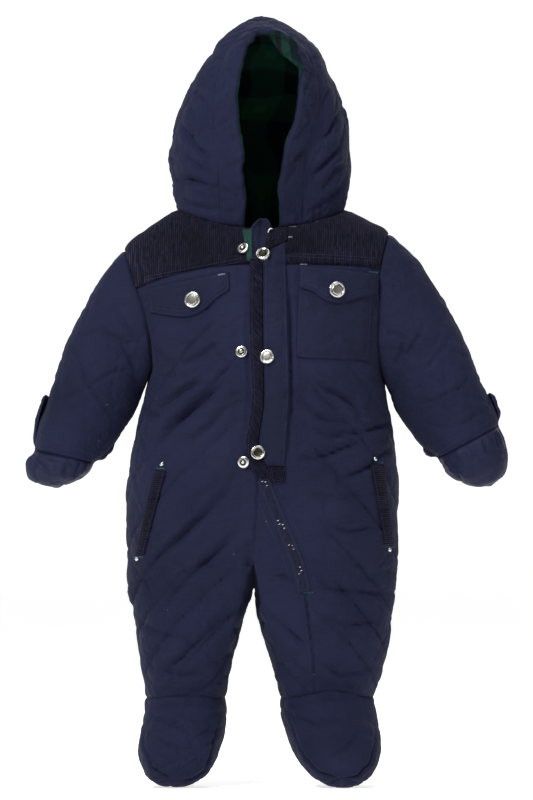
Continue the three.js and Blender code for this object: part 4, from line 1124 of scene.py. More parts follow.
SHELL_CLOTH, CORDUROY_CLOTH, NYLON_CLOTH = (SHELL, "shell"), (CORDUROY, "corduroy"), (NYLON, "nylon")
# The shell's darker copy, painted shade, goes on the guard, the flaps and the pockets
SOLE_CLOTH, SHADED_SHELL_CLOTH = (SOLE, "nylon"), (SHADED_SHELL, "shell")

# The zip's line down the left leg, and the seam that goes on from it to the ankle
ZIP = [(-5, -250), (1, -256), (10, -279), (19, -301), (29, -323), (38, -348), (42, -368)]
LEG_SEAM = [(44, -376), (46, -395), (51, -435), (52, -467), (53, -486)]


def resample(line, step):
    """Points every step or so along a line."""
    line = np.asarray(line, float)
    lengths = np.linalg.norm(np.diff(line, axis=0), axis=1)
    place = np.concatenate([[0], np.cumsum(lengths)])
    at = np.linspace(0, place[-1], max(2, int(round(place[-1] / step)) + 1))
    return np.stack([np.interp(at, place, line[:, k]) for k in range(line.shape[1])], -1)


ZIP_SEAM = resample(ZIP + LEG_SEAM, 1.5)

pieces = {}
for hand in ("right", "left"):
    for piece, cloth, height in (
        ("yoke_front", CORDUROY_CLOTH, yoke_height),
        ("front", SHELL_CLOTH, padded_height),
        ("back", SHELL_CLOTH, padded_height),
        ("foot_upper", SHELL_CLOTH, plain_height),
        ("foot_sole", SOLE_CLOTH, plain_height),
        ("sleeve", SHELL_CLOTH, sleeve_height),
        ("mitt", NYLON_CLOTH, nylon_height),
    ):
        node = f"{piece}_{hand}"
        if node == "front_left":
            made = clothe(node, body, chosen_body(piece, hand), cloth, height, ZIP_SEAM, "front_left_inside")
            pieces["front_left_inside"] = made[1]
        else:
            made = clothe(node, body, chosen_body(piece, hand), cloth, height, upright=cloth is CORDUROY_CLOTH,
                          shift=back_flap if piece == "mitt" else None)
        pieces[node] = made[0]
pieces["yoke_back"] = clothe("yoke_back", body, yoke_back, CORDUROY_CLOTH, yoke_height, upright=True)[0]

for node, chosen in (
    ("hood_middle", lambda patch: rows_from(patch, BAND) & (rows_from(patch, NAPE) | (
        (patch.cell_column >= MIDDLE_FROM - EPS) & (patch.cell_column < MIDDLE_TO - EPS)))),
    ("hood_side_right", lambda patch: rows_from(patch, BAND) & ~rows_from(patch, NAPE)
        & (patch.cell_column < MIDDLE_FROM - EPS)),
    ("hood_side_left", lambda patch: rows_from(patch, BAND) & ~rows_from(patch, NAPE)
        & (patch.cell_column >= MIDDLE_TO - EPS)),
):
    pieces[node] = clothe(node, hood, chosen, SHELL_CLOTH, hood_height, shift=top_of_hood)[0]


def grid_object(name, points, material, uv, turned=False):
    """A mesh over a grid of points in millimetres."""
    rows, columns = points.shape[:2]
    index = np.arange(rows * columns).reshape(rows, columns)
    quads = np.stack([index[:-1, :-1], index[1:, :-1], index[1:, 1:], index[:-1, 1:]], -1).reshape(-1, 4)
    if turned:
        quads = quads[:, ::-1]
    flat_uv = uv.reshape(-1, 2)[quads.ravel()]
    return new_object(name, points.reshape(-1, 3), quads.tolist(), material, flat_uv)


# The hood's front rim: padding rolled over the edge, with the lining's edge just inside it
RIM = 3.4
hood_patch = hood.patches[0]
BAND_ROWS = HOOD_ROWS.index(BAND) * HOOD_FINE + 1


def rim_frame():
    ids = hood_patch.ids
    normal = hood.normals[ids[0]]
    ahead = hood.points[ids[0]] - hood.points[ids[1]]
    ahead /= np.linalg.norm(ahead, axis=1, keepdims=True)
    return normal, ahead


def hood_band():
    used, faces, _ = gather(hood, lambda patch: ~rows_from(patch, BAND))
    points, normals, uv = hood.points[used], hood.normals[used], hood.uv[used]
    rim = boundary(faces)
    rim = rim[hood.rows[used][rim] > 0.01]
    distance, nearest = from_edge(points, points[rim])
    height = padded_height(points, normals, uv * 1.25, distance, nearest, None, puff=2.4, soft=1.5, pucker=1.9,
                           lead=-1, ease=9)
    height -= 1.5 * wrinkles(points, (22, 22, 5), 103) * (1 - np.exp(-((distance / 4) ** 2)))
    height = sewn_down(height, distance, points) - TOP_SINK * smoothstep(points[:, 2], 165, 206)
    place = {v: i for i, v in enumerate(used.tolist())}
    local = np.vectorize(place.get)(hood_patch.ids[:BAND_ROWS])
    grid = (points + normals * height[:, None])[local]
    grid_uv = uv[local]
    normal, ahead = rim_frame()
    uneven = 2.2 * rough(grid[0], (17, 17, 17), 93) + 1.1 * rough(grid[0], (8, 8, 8), 95) - 0.6
    share = (1 - smoothstep(hood_patch.rows[:BAND_ROWS, :1], 0, 0.8))[..., None]
    grid = grid + share * (uneven[:, None] * ahead)[None]
    turns = np.linspace(2.5, 0, 9)[:-1]
    rolled = [grid[0] + ahead * RIM * math.sin(a) + normal * RIM * (math.cos(a) - 1) for a in turns]
    rolled_uv = [grid_uv[0] - (0, RIM * a) for a in turns]
    grid = np.concatenate([rolled, grid])
    grid_uv = np.concatenate([rolled_uv, grid_uv])
    obj = grid_object("hood_band_cloth", grid, SHELL, grid_uv, True)
    return dress(obj, "hood_band", "shell", 1.2), grid[len(turns)]


pieces["hood_band"], rim_points = hood_band()


def hood_lining():
    """The lining hangs loosely inside the hood. Its edge rolls out to the rim, and at the upper left further."""
    normal, ahead = rim_frame()
    ids = hood_patch.ids[::2]
    at_row = hood_patch.rows[::2]
    loose = 1 - 0.85 * smoothstep(at_row, 4.5, 6.5)
    folds = 1.7 * rough(hood.points, (17, 30, 44), 43)[ids] + 0.8 * rough(hood.points, (8, 14, 20), 47)[ids]
    columns = hood_patch.columns[0]
    turned_out = np.clip(np.sin(np.pi * np.clip((columns - 5.15) / 2.2, 0, 1)), 0, 1) ** 0.7
    hanging = 14 * turned_out * np.exp(-(((at_row - 0.6) / 0.45) ** 2))
    inner = hood.points[ids] + hood.normals[ids] * (-8.6 + loose * folds - hanging)[..., None]
    blend = smoothstep(at_row, 0, 0.8)[..., None]
    start = rim_points + ahead * RIM * math.sin(2.3) + normal * RIM * (math.cos(2.3) - 1)
    inner = inner * blend + (start[None] + inner - inner[0][None]) * (1 - blend)
    # How far round the rim the lining's edge comes at each column
    reach = 1.9 + 0.14 * np.sin(columns * 4.1)
    reach -= turned_out * (1.5 + 0.6 * np.sin(columns * 7.3) + 0.35 * np.sin(columns * 17))
    edge = []
    for share in np.linspace(1, 0, 9)[:-1]:
        a = (2.3 + (reach - 2.3) * share)[:, None]
        round_rim = np.maximum(a, 0)
        over = np.maximum(-a, 0) * RIM
        lift = RIM + 0.9
        edge.append(rim_points + ahead * (lift * np.sin(round_rim) - over)
                    + normal * (lift * np.cos(round_rim) - RIM))
    grid = np.concatenate([edge, inner])
    drops = np.array([26, 16, 8, 3])
    inward = -0.12 * grid * (1, 1, 0)
    first = [grid[:, :1] + inward[:, :1] * drop / 26 - (0, 0, drop) for drop in drops]
    last = [grid[:, -1:] + inward[:, -1:] * drop / 26 - (0, 0, drop) for drop in drops[::-1]]
    grid = np.concatenate([*first, grid, *last], axis=1)
    x, y, z = np.moveaxis(grid, -1, 0)
    uv = np.stack([x + np.tanh(x / 25) * np.clip(60 - y, 0, None), z - 0.6 * y], -1)
    flat = grid.reshape(-1, 3)
    skewed = np.stack([rough(flat, (46, 46, 46), 97), rough(flat, (46, 46, 46), 99)], -1).reshape(uv.shape)
    uv = uv + 15 * skewed
    obj = grid_object("hood_lining_cloth", grid, TARTAN, uv, False)
    # The edge rows take the darker tartan copy, as painted shade on the rolled-out edge
    obj.data.materials.append(SHADED_LINING)
    cells = np.zeros((grid.shape[0] - 1, grid.shape[1] - 1), int)
    cells[:len(edge)] = 1
    obj.data.polygons.foreach_set("material_index", cells.ravel())
    return dress(obj, "hood_lining", "tartan", 0.8)


pieces["hood_lining"] = hood_lining()


# What is sewn on the front
def in_millimetres(obj):
    points = np.empty(len(obj.data.vertices) * 3)
    obj.data.vertices.foreach_get("co", points)
    return points.reshape(-1, 3) / MM


def tree_of(objects):
    points, faces, start = [], [], 0
    for obj in objects:
        co = in_millimetres(obj)
        points.append(co)
        faces += [[start + v for v in polygon.vertices] for polygon in obj.data.polygons]
        start += len(co)
    return BVHTree.FromPolygons(np.concatenate(points).tolist(), faces)


class Front:
    """The front as a height map: y of the outermost cloth over a grid of x and z."""

    STEP = 2.0
    AHEAD = Vector((0, 1, 0))

    def __init__(self, objects):
        self.x = np.arange(-140, 141, self.STEP)
        self.z = np.arange(-400, 30, self.STEP)
        tree = tree_of(objects)
        self.y = np.zeros((len(self.z), len(self.x)))
        for i, z in enumerate(self.z):
            for j, x in enumerate(self.x):
                hit = tree.ray_cast(Vector((x, -300, z)), self.AHEAD)[0]
                self.y[i, j] = min(hit.y, 0) if hit is not None else 0
        self.settle()

    def settle(self):
        """Cloth laid on top bridges the hollows below it."""
        smooth = self.y
        for _ in range(10):
            padded = np.pad(smooth, 1, mode="edge")
            smooth = (padded[:-2, 1:-1] + padded[2:, 1:-1] + padded[1:-1, :-2] + padded[1:-1, 2:]
                      + 2 * padded[1:-1, 1:-1]) / 6
        self.bridged = np.minimum(self.y, smooth)

    def sample(self, values, x, z):
        i = np.clip((np.asarray(z) - self.z[0]) / self.STEP, 0, len(self.z) - 1.001)
        j = np.clip((np.asarray(x) - self.x[0]) / self.STEP, 0, len(self.x) - 1.001)
        i0, j0 = i.astype(int), j.astype(int)
        fi, fj = i - i0, j - j0
        return ((values[i0, j0] * (1 - fj) + values[i0, j0 + 1] * fj) * (1 - fi)
                + (values[i0 + 1, j0] * (1 - fj) + values[i0 + 1, j0 + 1] * fj) * fi)

    def add(self, points):
        """Takes up the points of a piece that has been laid on."""
        p = points.reshape(-1, 3)
        i = np.round((p[:, 2] - self.z[0]) / self.STEP).astype(int)
        j = np.round((p[:, 0] - self.x[0]) / self.STEP).astype(int)
        fits = (i >= 0) & (i < len(self.z)) & (j >= 0) & (j < len(self.x))
        np.minimum.at(self.y, (i[fits], j[fits]), p[fits, 1])
        self.settle()

    def normal(self, x, z, around=5):
        dx = (self.sample(self.bridged, x + around, z) - self.sample(self.bridged, x - around, z)) / (2 * around)
        dz = (self.sample(self.bridged, x, z + around) - self.sample(self.bridged, x, z - around)) / (2 * around)
        return Vector((float(dx), -1, float(dz))).normalized()


front = Front([pieces[name] for name in (
    "yoke_front_right", "yoke_front_left", "front_right", "front_left", "front_left_inside")])
EDGE_STEPS = [0, 0.3, 0.7, 1.2, 1.8, 2.5]  # distances from an edge at which a strip has points


def spaced(length, step):
    """Distances along a length, closer together near its ends."""
    edge = [d for d in EDGE_STEPS if d < length / 2 - 0.4]
    middle = np.linspace(edge[-1], length - edge[-1], max(2, int((length - 2 * edge[-1]) / step) + 1))
    return np.concatenate([edge[:-1], middle, [length - d for d in edge[:-1]][::-1]])


def spline_through(values, t, straight):
    rows = {str(k): values[:, k] for k in range(values.shape[1])}
    if straight:
        return np.stack([np.interp(t, range(len(values)), values[:, k]) for k in range(values.shape[1])], -1)
    curve = along(rows, t)
    return np.stack([curve[str(k)] for k in range(values.shape[1])], -1)


def strip(node, stations, cloth, thick, swell=0.0, grooves=(), turn=0.0, straight=False, surface=None, seed=1,
          pucker=0.35, roll=0.0):
    """Cloth laid on the front between its edges a and b, given as ax az bx bz, pressed thin at its edges."""
    material, slot = cloth
    stations = np.array(stations, float)
    t = np.linspace(0, len(stations) - 1, 400)
    edges = spline_through(stations, t, straight)
    middle = (edges[:, :2] + edges[:, 2:]) / 2
    place = np.concatenate([[0], np.cumsum(np.linalg.norm(np.diff(middle, axis=0), axis=1))])
    widths = np.linalg.norm(edges[:, 2:] - edges[:, :2], axis=1)
    down = spaced(place[-1], 1.7)
    rows = np.stack([np.interp(down, place, edges[:, k]) for k in range(4)], -1)
    width = np.interp(down, place, widths)[:, None]
    share = spaced(widths.max(), 1.5) / widths.max()
    s = share[None, :] + 0 * width
    x = rows[:, :1] + (rows[:, 2:3] - rows[:, :1]) * s
    z = rows[:, 1:2] + (rows[:, 3:] - rows[:, 1:2]) * s
    from_ends = np.minimum(down, place[-1] - down)[:, None]
    d = np.minimum(np.minimum(s * width, (1 - s) * width), from_ends)
    height = thick * np.sqrt(1 - (1 - np.clip(d / 1.5, 0, 1)) ** 2) + swell * (1 - np.exp(-((d / 6) ** 1.5)))
    xyz = np.stack([x, 0 * x, z], -1).reshape(-1, 3)
    for groove in grooves:
        height = height - 0.5 * np.exp(-(((d - groove) / 0.8) ** 2))
    height = height + roll * np.exp(-(((d - 2.2) / 1.7) ** 2))
    uneven = 0.5 * rough(xyz, (9, 9, 9), seed).reshape(x.shape) + 0.5 * rough(xyz, (22, 22, 22), seed + 7).reshape(x.shape)
    height = height + pucker * (uneven + 0.2) * np.clip(d, 0, 1)
    base = front.sample(front.bridged, x, z) if surface is None else surface(x, z)
    y = base - 0.3 - height
    points = np.stack([x, y, z], -1)
    uv = np.stack([s * width, down[:, None] + 0 * s], -1)
    c, si = math.cos(math.radians(turn)), math.sin(math.radians(turn))
    uv = uv @ np.array([[c, si], [-si, c]])
    # Its edges go down into the cloth below
    skirt = np.pad(points, ((1, 1), (1, 1), (0, 0)), mode="edge")
    uv = np.pad(uv, ((1, 1), (1, 1), (0, 0)), mode="edge")
    depth = np.zeros(skirt.shape[:2], bool)
    depth[[0, -1], :] = depth[:, [0, -1]] = True
    if surface is None:
        raw = front.sample(front.y, skirt[..., 0], skirt[..., 2])
        skirt[..., 1] = np.where(depth, np.maximum(raw, skirt[..., 1]) + 1.2, skirt[..., 1])
    else:
        skirt[..., 1] += np.where(depth, 1.8, 0)
    a, b, c3 = points[0, 0], points[-1, 0], points[0, -1]
    turned = np.cross(b - a, c3 - a)[1] > 0
    obj = grid_object(f"{node}_cloth", skirt, material, uv, turned)
    dress(obj, node, slot, 0)
    front.add(points)
    pieces[node] = obj

    def line(side, inset):
        """A line on the piece, inset from one of its edges: a, b, start or end."""
        if side in "ab":
            at = np.linspace(inset, place[-1] - inset, 60)
            row = np.stack([np.interp(at, place, edges[:, k]) for k in range(4)], -1)
            w = np.interp(at, place, widths)[:, None]
            f = inset / w if side == "a" else 1 - inset / w
        else:
            at = inset if side == "start" else place[-1] - inset
            row = np.array([[np.interp(at, place, edges[:, k]) for k in range(4)]])
            w = np.interp(at, place, widths)
            f = np.linspace(inset / w, 1 - inset / w, 40)[:, None]
        return row[:, :2] + (row[:, 2:] - row[:, :2]) * f

    return line


def guard_surface(x, z):
    """The guard stands up past the neck's edge, leaning back."""
    neck = TRUNK["zFront"][0]
    free = np.maximum(0, z - neck + 3)
    return front.sample(front.bridged, x, z - free) + 0.35 * free


lines = {}
lines["zip_guard"] = strip("zip_guard", [
    (-12, -45, 6, -45), (-12.5, -28, 8, -28), (-13, -10.5, 9.5, -10.5), (-9.5, -4, 9.2, -4), (-6, 0, 7.5, 0),
    (-2.5, 3, 4.5, 3),
], SHADED_SHELL_CLOTH, 1.6, 0.2, surface=guard_surface, seed=51, roll=2.6)
lines["neck_facing"] = strip("neck_facing", [
    (-19.5, -8, -10, -8), (-17.5, -22, -10, -22), (-14.8, -40, -10, -40),
], (FACING, "tartan"), 0.9, 0.3, seed=52)
lines["chest_pocket"] = strip("chest_pocket", [
    (34.3, -131, 36.8, -46), (38, -136, 42, -47), (59, -137, 62, -48.5), (84, -138, 90, -51), (107, -138.6, 113, -53.5),
], SHADED_SHELL_CLOTH, 1.5, 1.8, grooves=(2.6, 7), seed=53, pucker=0.8)
for hand, stations in (
    ("right", [(-107, -248, -95, -248), (-126, -332, -117, -332)]),
    ("left", [(107, -242, 122, -242), (122, -322, 132, -322)]),
):
    lines[f"hip_welt_{hand}"] = strip(f"hip_welt_{hand}", stations, CORDUROY_CLOTH, 2.2, 1.0, grooves=(2.4,),
                                      turn=90, straight=True, seed=54)

TAPE = 6.5  # half the zip tape's width


def beside(line, offset):
    """The line moved sideways."""
    line = np.asarray(line, float)
    direction = np.gradient(line, axis=0)
    direction /= np.linalg.norm(direction, axis=1, keepdims=True)
    return line + offset * np.stack([direction[:, 1], -direction[:, 0]], -1)


zip_line = resample(ZIP[1:], 12)
lines["zip"] = strip("zip", np.hstack([beside(zip_line, TAPE), beside(zip_line, -TAPE)]), (TAPE_CLOTH, "zip"), 1.2,
                     seed=55, pucker=0.15)
lines["storm_flap_edge"] = strip("storm_flap_edge", [
    (-12, -38, 1, -34), (-12.5, -108, 1, -108), (-10, -178, 2, -178), (-16, -219, -3, -221), (-13, -243, 4.4, -243),
    (-10, -248, 8, -257),
], CORDUROY_CLOTH, 2.8, 1.4, grooves=(2.6,), turn=38, seed=56, pucker=1.2)
lines["storm_flap"] = strip("storm_flap", [
    (1.3, -30.5, 23.5, -20), (1.3, -34, 23.7, -34), (1.3, -108, 26, -108), (2.3, -178, 27, -178),
    (-2.7, -221, 24, -221), (5.1, -244, 23, -244),
], SHADED_SHELL_CLOTH, 2.4, 3.0, grooves=(2.4,), seed=57, pucker=2.6)
lines["storm_flap_top"] = strip("storm_flap_top", [
    (2, -29.8, 4, -17), (8, -27, 9, -12), (16, -23.2, 16, -9), (25, -19, 25, -9),
], CORDUROY_CLOTH, 2.6, 1.0, grooves=(2.2,), turn=60, seed=58)
lines["storm_flap_end"] = strip("storm_flap_end", [
    (5.3, -254, 5.3, -244.4), (13, -260, 13, -244.4), (23, -258, 23, -244.4),
], CORDUROY_CLOTH, 2.6, 1.0, grooves=(2.2,), turn=80, seed=59)
lines["pocket_flap_right"] = strip("pocket_flap_right", [
    (-111.5, -91.5, -113, -66.8), (-98, -93.5, -98, -63.8), (-84, -95.5, -85, -61), (-71, -95, -71, -58.2),
    (-58, -88.5, -58, -55.6), (-45, -77, -46, -53.2), (-32, -68.5, -33, -50.7),
], SHADED_SHELL_CLOTH, 2.6, 1.8, grooves=(2.2, 6.2), seed=60, pucker=1.2)
lines["pocket_flap_left"] = strip("pocket_flap_left", [
    (37, -66.8, 37, -45), (51, -71, 51, -46), (62.5, -79.5, 63, -47), (74, -81.6, 75, -48), (85, -80.2, 87, -49.5),
    (97, -76, 100, -51), (114.5, -73, 115, -53),
], SHADED_SHELL_CLOTH, 2.6, 1.8, grooves=(2.2, 6.2), seed=61, pucker=1.2)


# Snaps, studs and rivets: turned profiles of radius, height and finish, in parts of the outer radius
BRIGHT, DULL, DARK = 0, 1, 2
CAP = [
    (1.0, -0.3, BRIGHT), (1.0, 0.06, BRIGHT), (0.985, 0.13, BRIGHT), (0.93, 0.2, BRIGHT), (0.86, 0.235, BRIGHT),
    (0.78, 0.235, BRIGHT), (0.72, 0.2, BRIGHT), (0.67, 0.14, DULL), (0.62, 0.14, DULL), (0.57, 0.19, BRIGHT),
    (0.5, 0.2, DULL), (0.3, 0.21, DULL), (0.0, 0.215, DULL),
]
FLAP_SNAP = [
    (1.0, -0.3, BRIGHT), (1.0, 0.08, BRIGHT), (0.98, 0.17, BRIGHT), (0.92, 0.24, BRIGHT), (0.84, 0.27, BRIGHT),
    (0.76, 0.24, BRIGHT), (0.7, 0.16, DULL), (0.66, 0.13, BRIGHT), (0.6, 0.17, BRIGHT), (0.54, 0.14, DARK),
    (0.46, 0.07, DARK), (0.3, 0.03, DARK), (0.14, 0.02, DARK), (0.0, 0.02, DARK),
]
STUD = [
    (1.0, -0.3, BRIGHT), (1.0, 0.05, BRIGHT), (0.98, 0.11, BRIGHT), (0.92, 0.15, BRIGHT), (0.62, 0.2, BRIGHT),
    (0.55, 0.19, BRIGHT), (0.51, 0.12, DARK), (0.49, 0.02, DARK), (0.36, 0.02, DARK), (0.33, 0.3, BRIGHT),
    (0.31, 0.42, BRIGHT), (0.26, 0.5, BRIGHT), (0.16, 0.54, BRIGHT), (0.0, 0.555, BRIGHT),
]
RIVET = [
    (1.0, -0.3, BRIGHT), (1.0, 0.1, BRIGHT), (0.95, 0.3, BRIGHT), (0.8, 0.5, BRIGHT), (0.55, 0.66, BRIGHT),
    (0.25, 0.74, BRIGHT), (0.0, 0.76, BRIGHT),
]
TURNS = 40


def fasten(node, profile, diameter, x, z, lean=(0, 0)):
    """A turned metal part on the front, square to the cloth but for its lean in degrees."""
    radius = diameter / 2
    around = np.linspace(0, 2 * np.pi, TURNS, endpoint=False)
    points, faces, finishes = [], [], []
    for r, h, _ in profile[:-1]:
        points += [(r * radius * math.cos(a), r * radius * math.sin(a), h * radius) for a in around]
    points.append((0, 0, profile[-1][1] * radius))
    for ring in range(len(profile) - 2):
        for k in range(TURNS):
            a, b = ring * TURNS + k, ring * TURNS + (k + 1) % TURNS
            faces.append((a, b, b + TURNS, a + TURNS))
            finishes.append(profile[ring + 1][2])
    last = (len(profile) - 2) * TURNS
    for k in range(TURNS):
        faces.append((last + k, last + (k + 1) % TURNS, last + TURNS))
        finishes.append(profile[-1][2])
    normal = front.normal(x, z)
    normal = (normal + Vector((math.radians(lean[0]), 0, math.radians(lean[1])))).normalized()
    rim = [front.sample(front.bridged, x + radius * math.cos(a), z + radius * math.sin(a)) for a in around[::4]]
    middle = float(front.sample(front.bridged, x, z))
    seat = Vector((x, 0.5 * (middle + min(middle, *map(float, rim))) - 0.3, z))
    turn = normal.to_track_quat("Z", "X").to_matrix().to_4x4()
    obj = new_object(f"{node}_metal", points, faces, NICKEL)
    obj.data.transform(Matrix.Translation(seat * MM) @ turn)
    obj.data.materials.append(DULL_NICKEL)
    obj.data.materials.append(DARK_NICKEL)
    obj.data.polygons.foreach_set("material_index", finishes)
    obj.data.set_sharp_from_angle(angle=math.radians(50))
    pieces[node] = dress(obj, node, "metal", 0)


for i, (x, z, lean) in enumerate([(1, -33, (6, 8)), (5, -135, (4, 3)), (-4, -230, (-5, 7))]):
    fasten(f"snap_{i + 1}", CAP if i == 1 else FLAP_SNAP, 14.5, x, z, lean)
fasten("snap_pocket_right", CAP, 16.5, -69, -78.5, (-3, 2))
fasten("snap_pocket_left", CAP, 16.5, 74.5, -68.5, (2, 3))
for i, (x, z) in enumerate([(-19, -27), (-20.5, -130), (-18.5, -239.5)]):
    fasten(f"stud_{i + 1}", STUD, 11.8, x, z, (-4, 2))
for node, x, z in (
    ("rivet_right_top", -99.5, -241.5), ("rivet_right_end", -124.5, -336),
    ("rivet_left_top", 112.5, -236.5), ("rivet_left_end", 127, -327),
):
    fasten(node, RIVET, 4.6, x, z)


def slider():
    """The top of the zip's slider, a small bright crescent beside the guard."""
    centre, radius, tube = (9.6, -11.2), 3.5, 0.95
    y = float(front.sample(front.bridged, *centre)) - 0.8
    points, faces = [], []
    turns = np.linspace(math.radians(70), math.radians(200), 14)
    for i, a in enumerate(turns):
        size = tube * math.sin(math.pi * (i + 0.5) / len(turns)) ** 0.4
        for b in np.linspace(0, 2 * math.pi, 8, endpoint=False):
            r = radius + size * math.cos(b)
            points.append((centre[0] + r * math.cos(a), y + size * math.sin(b), centre[1] + r * math.sin(a)))
    for i in range(len(turns) - 1):
        for k in range(8):
            faces.append((8 * i + k, 8 * i + (k + 1) % 8, 8 * i + 8 + (k + 1) % 8, 8 * i + 8 + k))
    faces += [tuple(range(8))[::-1], tuple(range(len(points) - 8, len(points)))]
    pieces["zip_slider"] = dress(new_object("zip_slider_metal", points, faces, NICKEL), "zip_slider", "metal", 0)


slider()


# Stitching: rows of small raised stitches along lines on the cloth
class Sewing:
    """Stitches of one thread, gathered in one mesh."""

    SIDES = 5

    def __init__(self):
        self.points, self.faces, self.uv = [], [], []

    def stitch(self, middle, direction, normal, length, radius):
        """One stitch, a rounded bead half sunk in the cloth."""
        side = direction.cross(normal).normalized()
        start = len(self.points)
        profile = [(-0.5, 0.35), (-0.3, 0.9), (0.3, 0.9), (0.5, 0.35)]
        for at, size in profile:
            for k in range(self.SIDES):
                a = 2 * math.pi * k / self.SIDES
                offset = side * math.cos(a) + normal * (math.sin(a) + 0.35)
                self.points.append(middle + direction * at * length + offset * radius * size)
        for ring in range(len(profile) - 1):
            for k in range(self.SIDES):
                a, b = start + ring * self.SIDES + k, start + ring * self.SIDES + (k + 1) % self.SIDES
                self.faces.append((a, b, b + self.SIDES, a + self.SIDES))
        self.faces.append(tuple(start + k for k in range(self.SIDES))[::-1])
        self.faces.append(tuple(start + (len(profile) - 1) * self.SIDES + k for k in range(self.SIDES)))

    def row(self, line, place, pitch=2.7, length=2.0, radius=0.33):
        """Stitches along a line, where place finds the cloth's point and normal at one of the line's points."""
        line = resample(line, pitch)
        seats = [place(point) for point in line]
        for one, two in zip(seats[:-1], seats[1:]):
            if one is None or two is None or (two[0] - one[0]).length > 2.5 * pitch:
                continue
            direction = (two[0] - one[0]).normalized()
            self.stitch((one[0] + two[0]) / 2, direction, one[1], length, radius)

    def finish(self, name, material, slot):
        obj = new_object(name, [tuple(point) for point in self.points], self.faces, material,
                         [(0, 0)] * sum(len(face) for face in self.faces))
        loops = np.empty(len(obj.data.loops), int)
        obj.data.loops.foreach_get("vertex_index", loops)
        co = in_millimetres(obj)[loops]
        obj.data.uv_layers["Cloth"].data.foreach_set("uv", (co[:, [0, 2]] * MM).ravel())
        pieces[name] = dress(obj, None, slot, 0)


def on_front(names):
    tree = tree_of([pieces[name] for name in names])

    def place(point):
        hit, normal, _, _ = tree.ray_cast(Vector((point[0], -300, point[1])), Front.AHEAD)
        if hit is None:
            return None
        return hit, normal if normal.y < 0 else -normal

    return place


def on_surface(names):
    tree = tree_of([pieces[name] for name in names])

    def place(point):
        hit, normal, _, _ = tree.find_nearest(Vector(point))
        return hit, normal

    return place


thread, tacks, pale_tacks, teeth, painted_glint_teeth = (Sewing() for _ in range(5))
for name, sides in (
    ("pocket_flap_right", [("a", 2.2), ("a", 6.2), ("end", 2.2), ("start", 2.2), ("b", 1.8)]),
    ("pocket_flap_left", [("a", 2.2), ("a", 6.2), ("end", 2.2), ("start", 2.2), ("b", 1.8)]),
    ("chest_pocket", [("a", 2.6), ("start", 2.6), ("end", 2.6)]),
    ("storm_flap", [("b", 2.4), ("a", 2.2)]),
    ("storm_flap_edge", [("a", 2.6)]),
    ("storm_flap_end", [("a", 2.2)]),
    ("storm_flap_top", [("b", 2.0), ("b", 4.6), ("b", 7.2)]),
    ("hip_welt_right", [("a", 2.4), ("b", 2.4), ("start", 2.2), ("end", 2.2)]),
    ("hip_welt_left", [("a", 2.4), ("b", 2.4), ("start", 2.2), ("end", 2.2)]),
):
    place = on_front([name])
    for side, inset in sides:
        thread.row(lines[name](side, inset), place)

yokes = on_front(["yoke_front_right", "yoke_front_left"])
for rise in (5.5, 8.5):
    thread.row([(-116, -64 + rise), (-70, -55.5 + rise), (-20, -46 + rise)], yokes)
    thread.row([(28, -41 + rise), (76, -43 + rise), (125, -46 + rise)], yokes)
panels = on_front(["front_right", "front_left", "front_left_inside"])
for offset in (TAPE + 5.5, -TAPE - 5.5):
    thread.row(beside(resample(ZIP[1:], 6), offset), panels)
for offset in (3.2,):
    thread.row(beside(resample(LEG_SEAM, 6), offset), panels)

tape = on_front(["zip"])
GLINTS = [(1, -259), (19, -301), (29, -323), (38, -348)]  # where pale teeth are laid on as painted glints
for i, (x, z) in enumerate(resample(ZIP[1:], 1.9)):
    seat = tape((x, z))
    if seat:
        across_zip = Vector((0.42, 0, -0.9)).cross(seat[1]).normalized()
        teeth.stitch(seat[0], across_zip, seat[1], 6.6, 0.62)
        # Near these spots some teeth are doubled in pale nickel: painted glints, highlights painted on the dark zip
        if min(math.dist((x, z), glint) for glint in GLINTS) < 5 and i % 3:
            aside = across_zip * (1.5 if i % 2 else -1.3)
            painted_glint_teeth.stitch(seat[0] + aside + 0.25 * seat[1], across_zip, seat[1], 2.4, 0.6)


def bar_tack(sewing, where, start, end, height=1.6, count=9):
    """A dense row of short stitches across a line."""
    start, end = Vector((start[0], 0, start[1])), Vector((end[0], 0, end[1]))
    along_tack = (end - start).normalized()
    for k in range(count):
        point = start.lerp(end, k / (count - 1))
        seat = where((point.x, point.z))
        if seat is None:
            continue
        across = seat[1].cross(along_tack).normalized()
        sewing.stitch(seat[0], across, seat[1], height, 0.42)


flaps = on_front(["pocket_flap_right", "pocket_flap_left", "chest_pocket", "storm_flap", "storm_flap_top",
                  "yoke_front_right", "yoke_front_left", "front_right", "front_left", "zip_guard"])
for sewing, start, end in (
    (pale_tacks, (38.5, -43.5), (44.5, -43.5)),
    (tacks, (106.5, -50.5), (115, -51.4)),
    (pale_tacks, (-43, -54), (-37, -53)),
    (pale_tacks, (27, -5.5), (33.5, -5.5)),
    (pale_tacks, (26.5, -16), (30, -16)),
    (tacks, (-104, -246), (-97.5, -246)),
    (tacks, (-128, -334), (-119, -334)),
    (tacks, (108, -240.5), (120, -240.5)),
    (tacks, (123, -324), (132, -324)),
    (tacks, (33.5, -369), (50, -369)),
):
    bar_tack(sewing, flaps, start, end)

# Mitts: a double row above the gathers
for hand, side in (("right", RIGHT), ("left", LEFT)):
    place = on_surface([f"sleeve_{hand}"])
    for g in (CUFF - 0.12, CUFF - 0.42):
        ring = np.linspace(0.5, RING / 2 - 0.5, 40)
        thread.row(sleeve_point(np.full(40, g), ring, side), place)

thread.finish("stitching", THREAD, "shell")
tacks.finish("bar_tacks", TACK, "tartan")
pale_tacks.finish("pale_bar_tacks", PALE_TACK, "shell")
teeth.finish("zip_teeth", TEETH, "metal")
painted_glint_teeth.finish("painted_glint_zip_teeth", NICKEL, "metal")

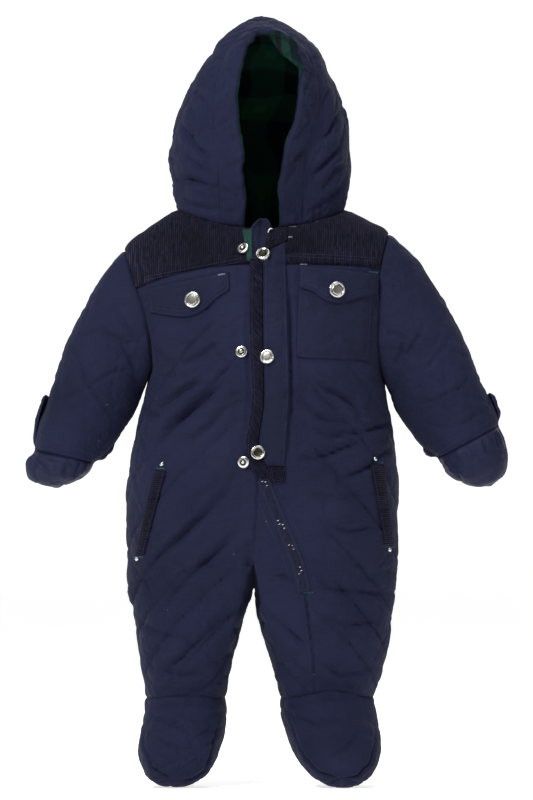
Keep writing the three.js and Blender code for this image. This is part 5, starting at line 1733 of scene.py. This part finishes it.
# Camera: nearly level with the belly, far off
camera_data = bpy.data.cameras.new("camera")
DISTANCE = 9.0
PICTURE_HEIGHT = 0.800
camera_data.sensor_width = 36
camera_data.lens = 36 * DISTANCE / PICTURE_HEIGHT
camera_data.clip_end = 40
camera = bpy.data.objects.new("camera", camera_data)
camera.location = (0.0045, -DISTANCE, -0.178)
camera.rotation_euler = (math.pi / 2, 0, 0)
bpy.context.scene.collection.objects.link(camera)
bpy.context.scene.camera = camera

# Studio: a white floor that bends up into a wall, a white sky and soft lamps
FLOOR_Z = min(cad_box[0][2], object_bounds()[0][2]) - 0.0005


def studio():
    profile = [(-10.0, 0.0), (18.0, 0.0)]
    profile += [(18.0 + 3 * math.sin(a), 3 * (1 - math.cos(a))) for a in np.linspace(0.15, math.pi / 2, 10)]
    profile.append((21.0, 14.0))
    points = [(x * 1000, y * 1000, (FLOOR_Z + z) * 1000) for y, z in profile for x in (-20, 20)]
    faces = [(2 * i, 2 * i + 1, 2 * i + 3, 2 * i + 2) for i in range(len(profile) - 1)]
    white, tree, shader = nodes_of("floor_white", (0.94, 0.94, 0.94), 0.9)
    shader.inputs["Emission Color"].default_value = (1, 1, 1, 1)
    shader.inputs["Emission Strength"].default_value = 0.62
    floor = new_object("floor", points, faces, white)
    world = bpy.data.worlds.new("studio")
    bpy.context.scene.world = world
    world.use_nodes = True
    world.node_tree.nodes["Background"].inputs["Color"].default_value = (1, 1, 1, 1)
    world.node_tree.nodes["Background"].inputs["Strength"].default_value = 0.22
    for name, place, target, size, energy in (
        ("key", (-1.3, -2.2, 1.9), (0, 0, -0.2), 0.8, 120),
        ("fill", (2.4, -2.6, 0.5), (0, 0, -0.2), 1.6, 16),
        ("top", (0.2, -0.6, 2.4), (0, 0, 0), 1.2, 34),
        ("back", (0.4, 2.0, 1.4), (0, 0, -0.2), 1.6, 16),
    ):
        data = bpy.data.lights.new(name, "AREA")
        data.size = size
        data.energy = energy
        lamp = bpy.data.objects.new(name, data)
        lamp.location = place
        lamp.rotation_euler = (Vector(target) - Vector(place)).to_track_quat("-Z", "Y").to_euler()
        bpy.context.scene.collection.objects.link(lamp)


studio()
view = bpy.context.scene.view_settings
view.view_transform = "Standard"
view.look = "None"
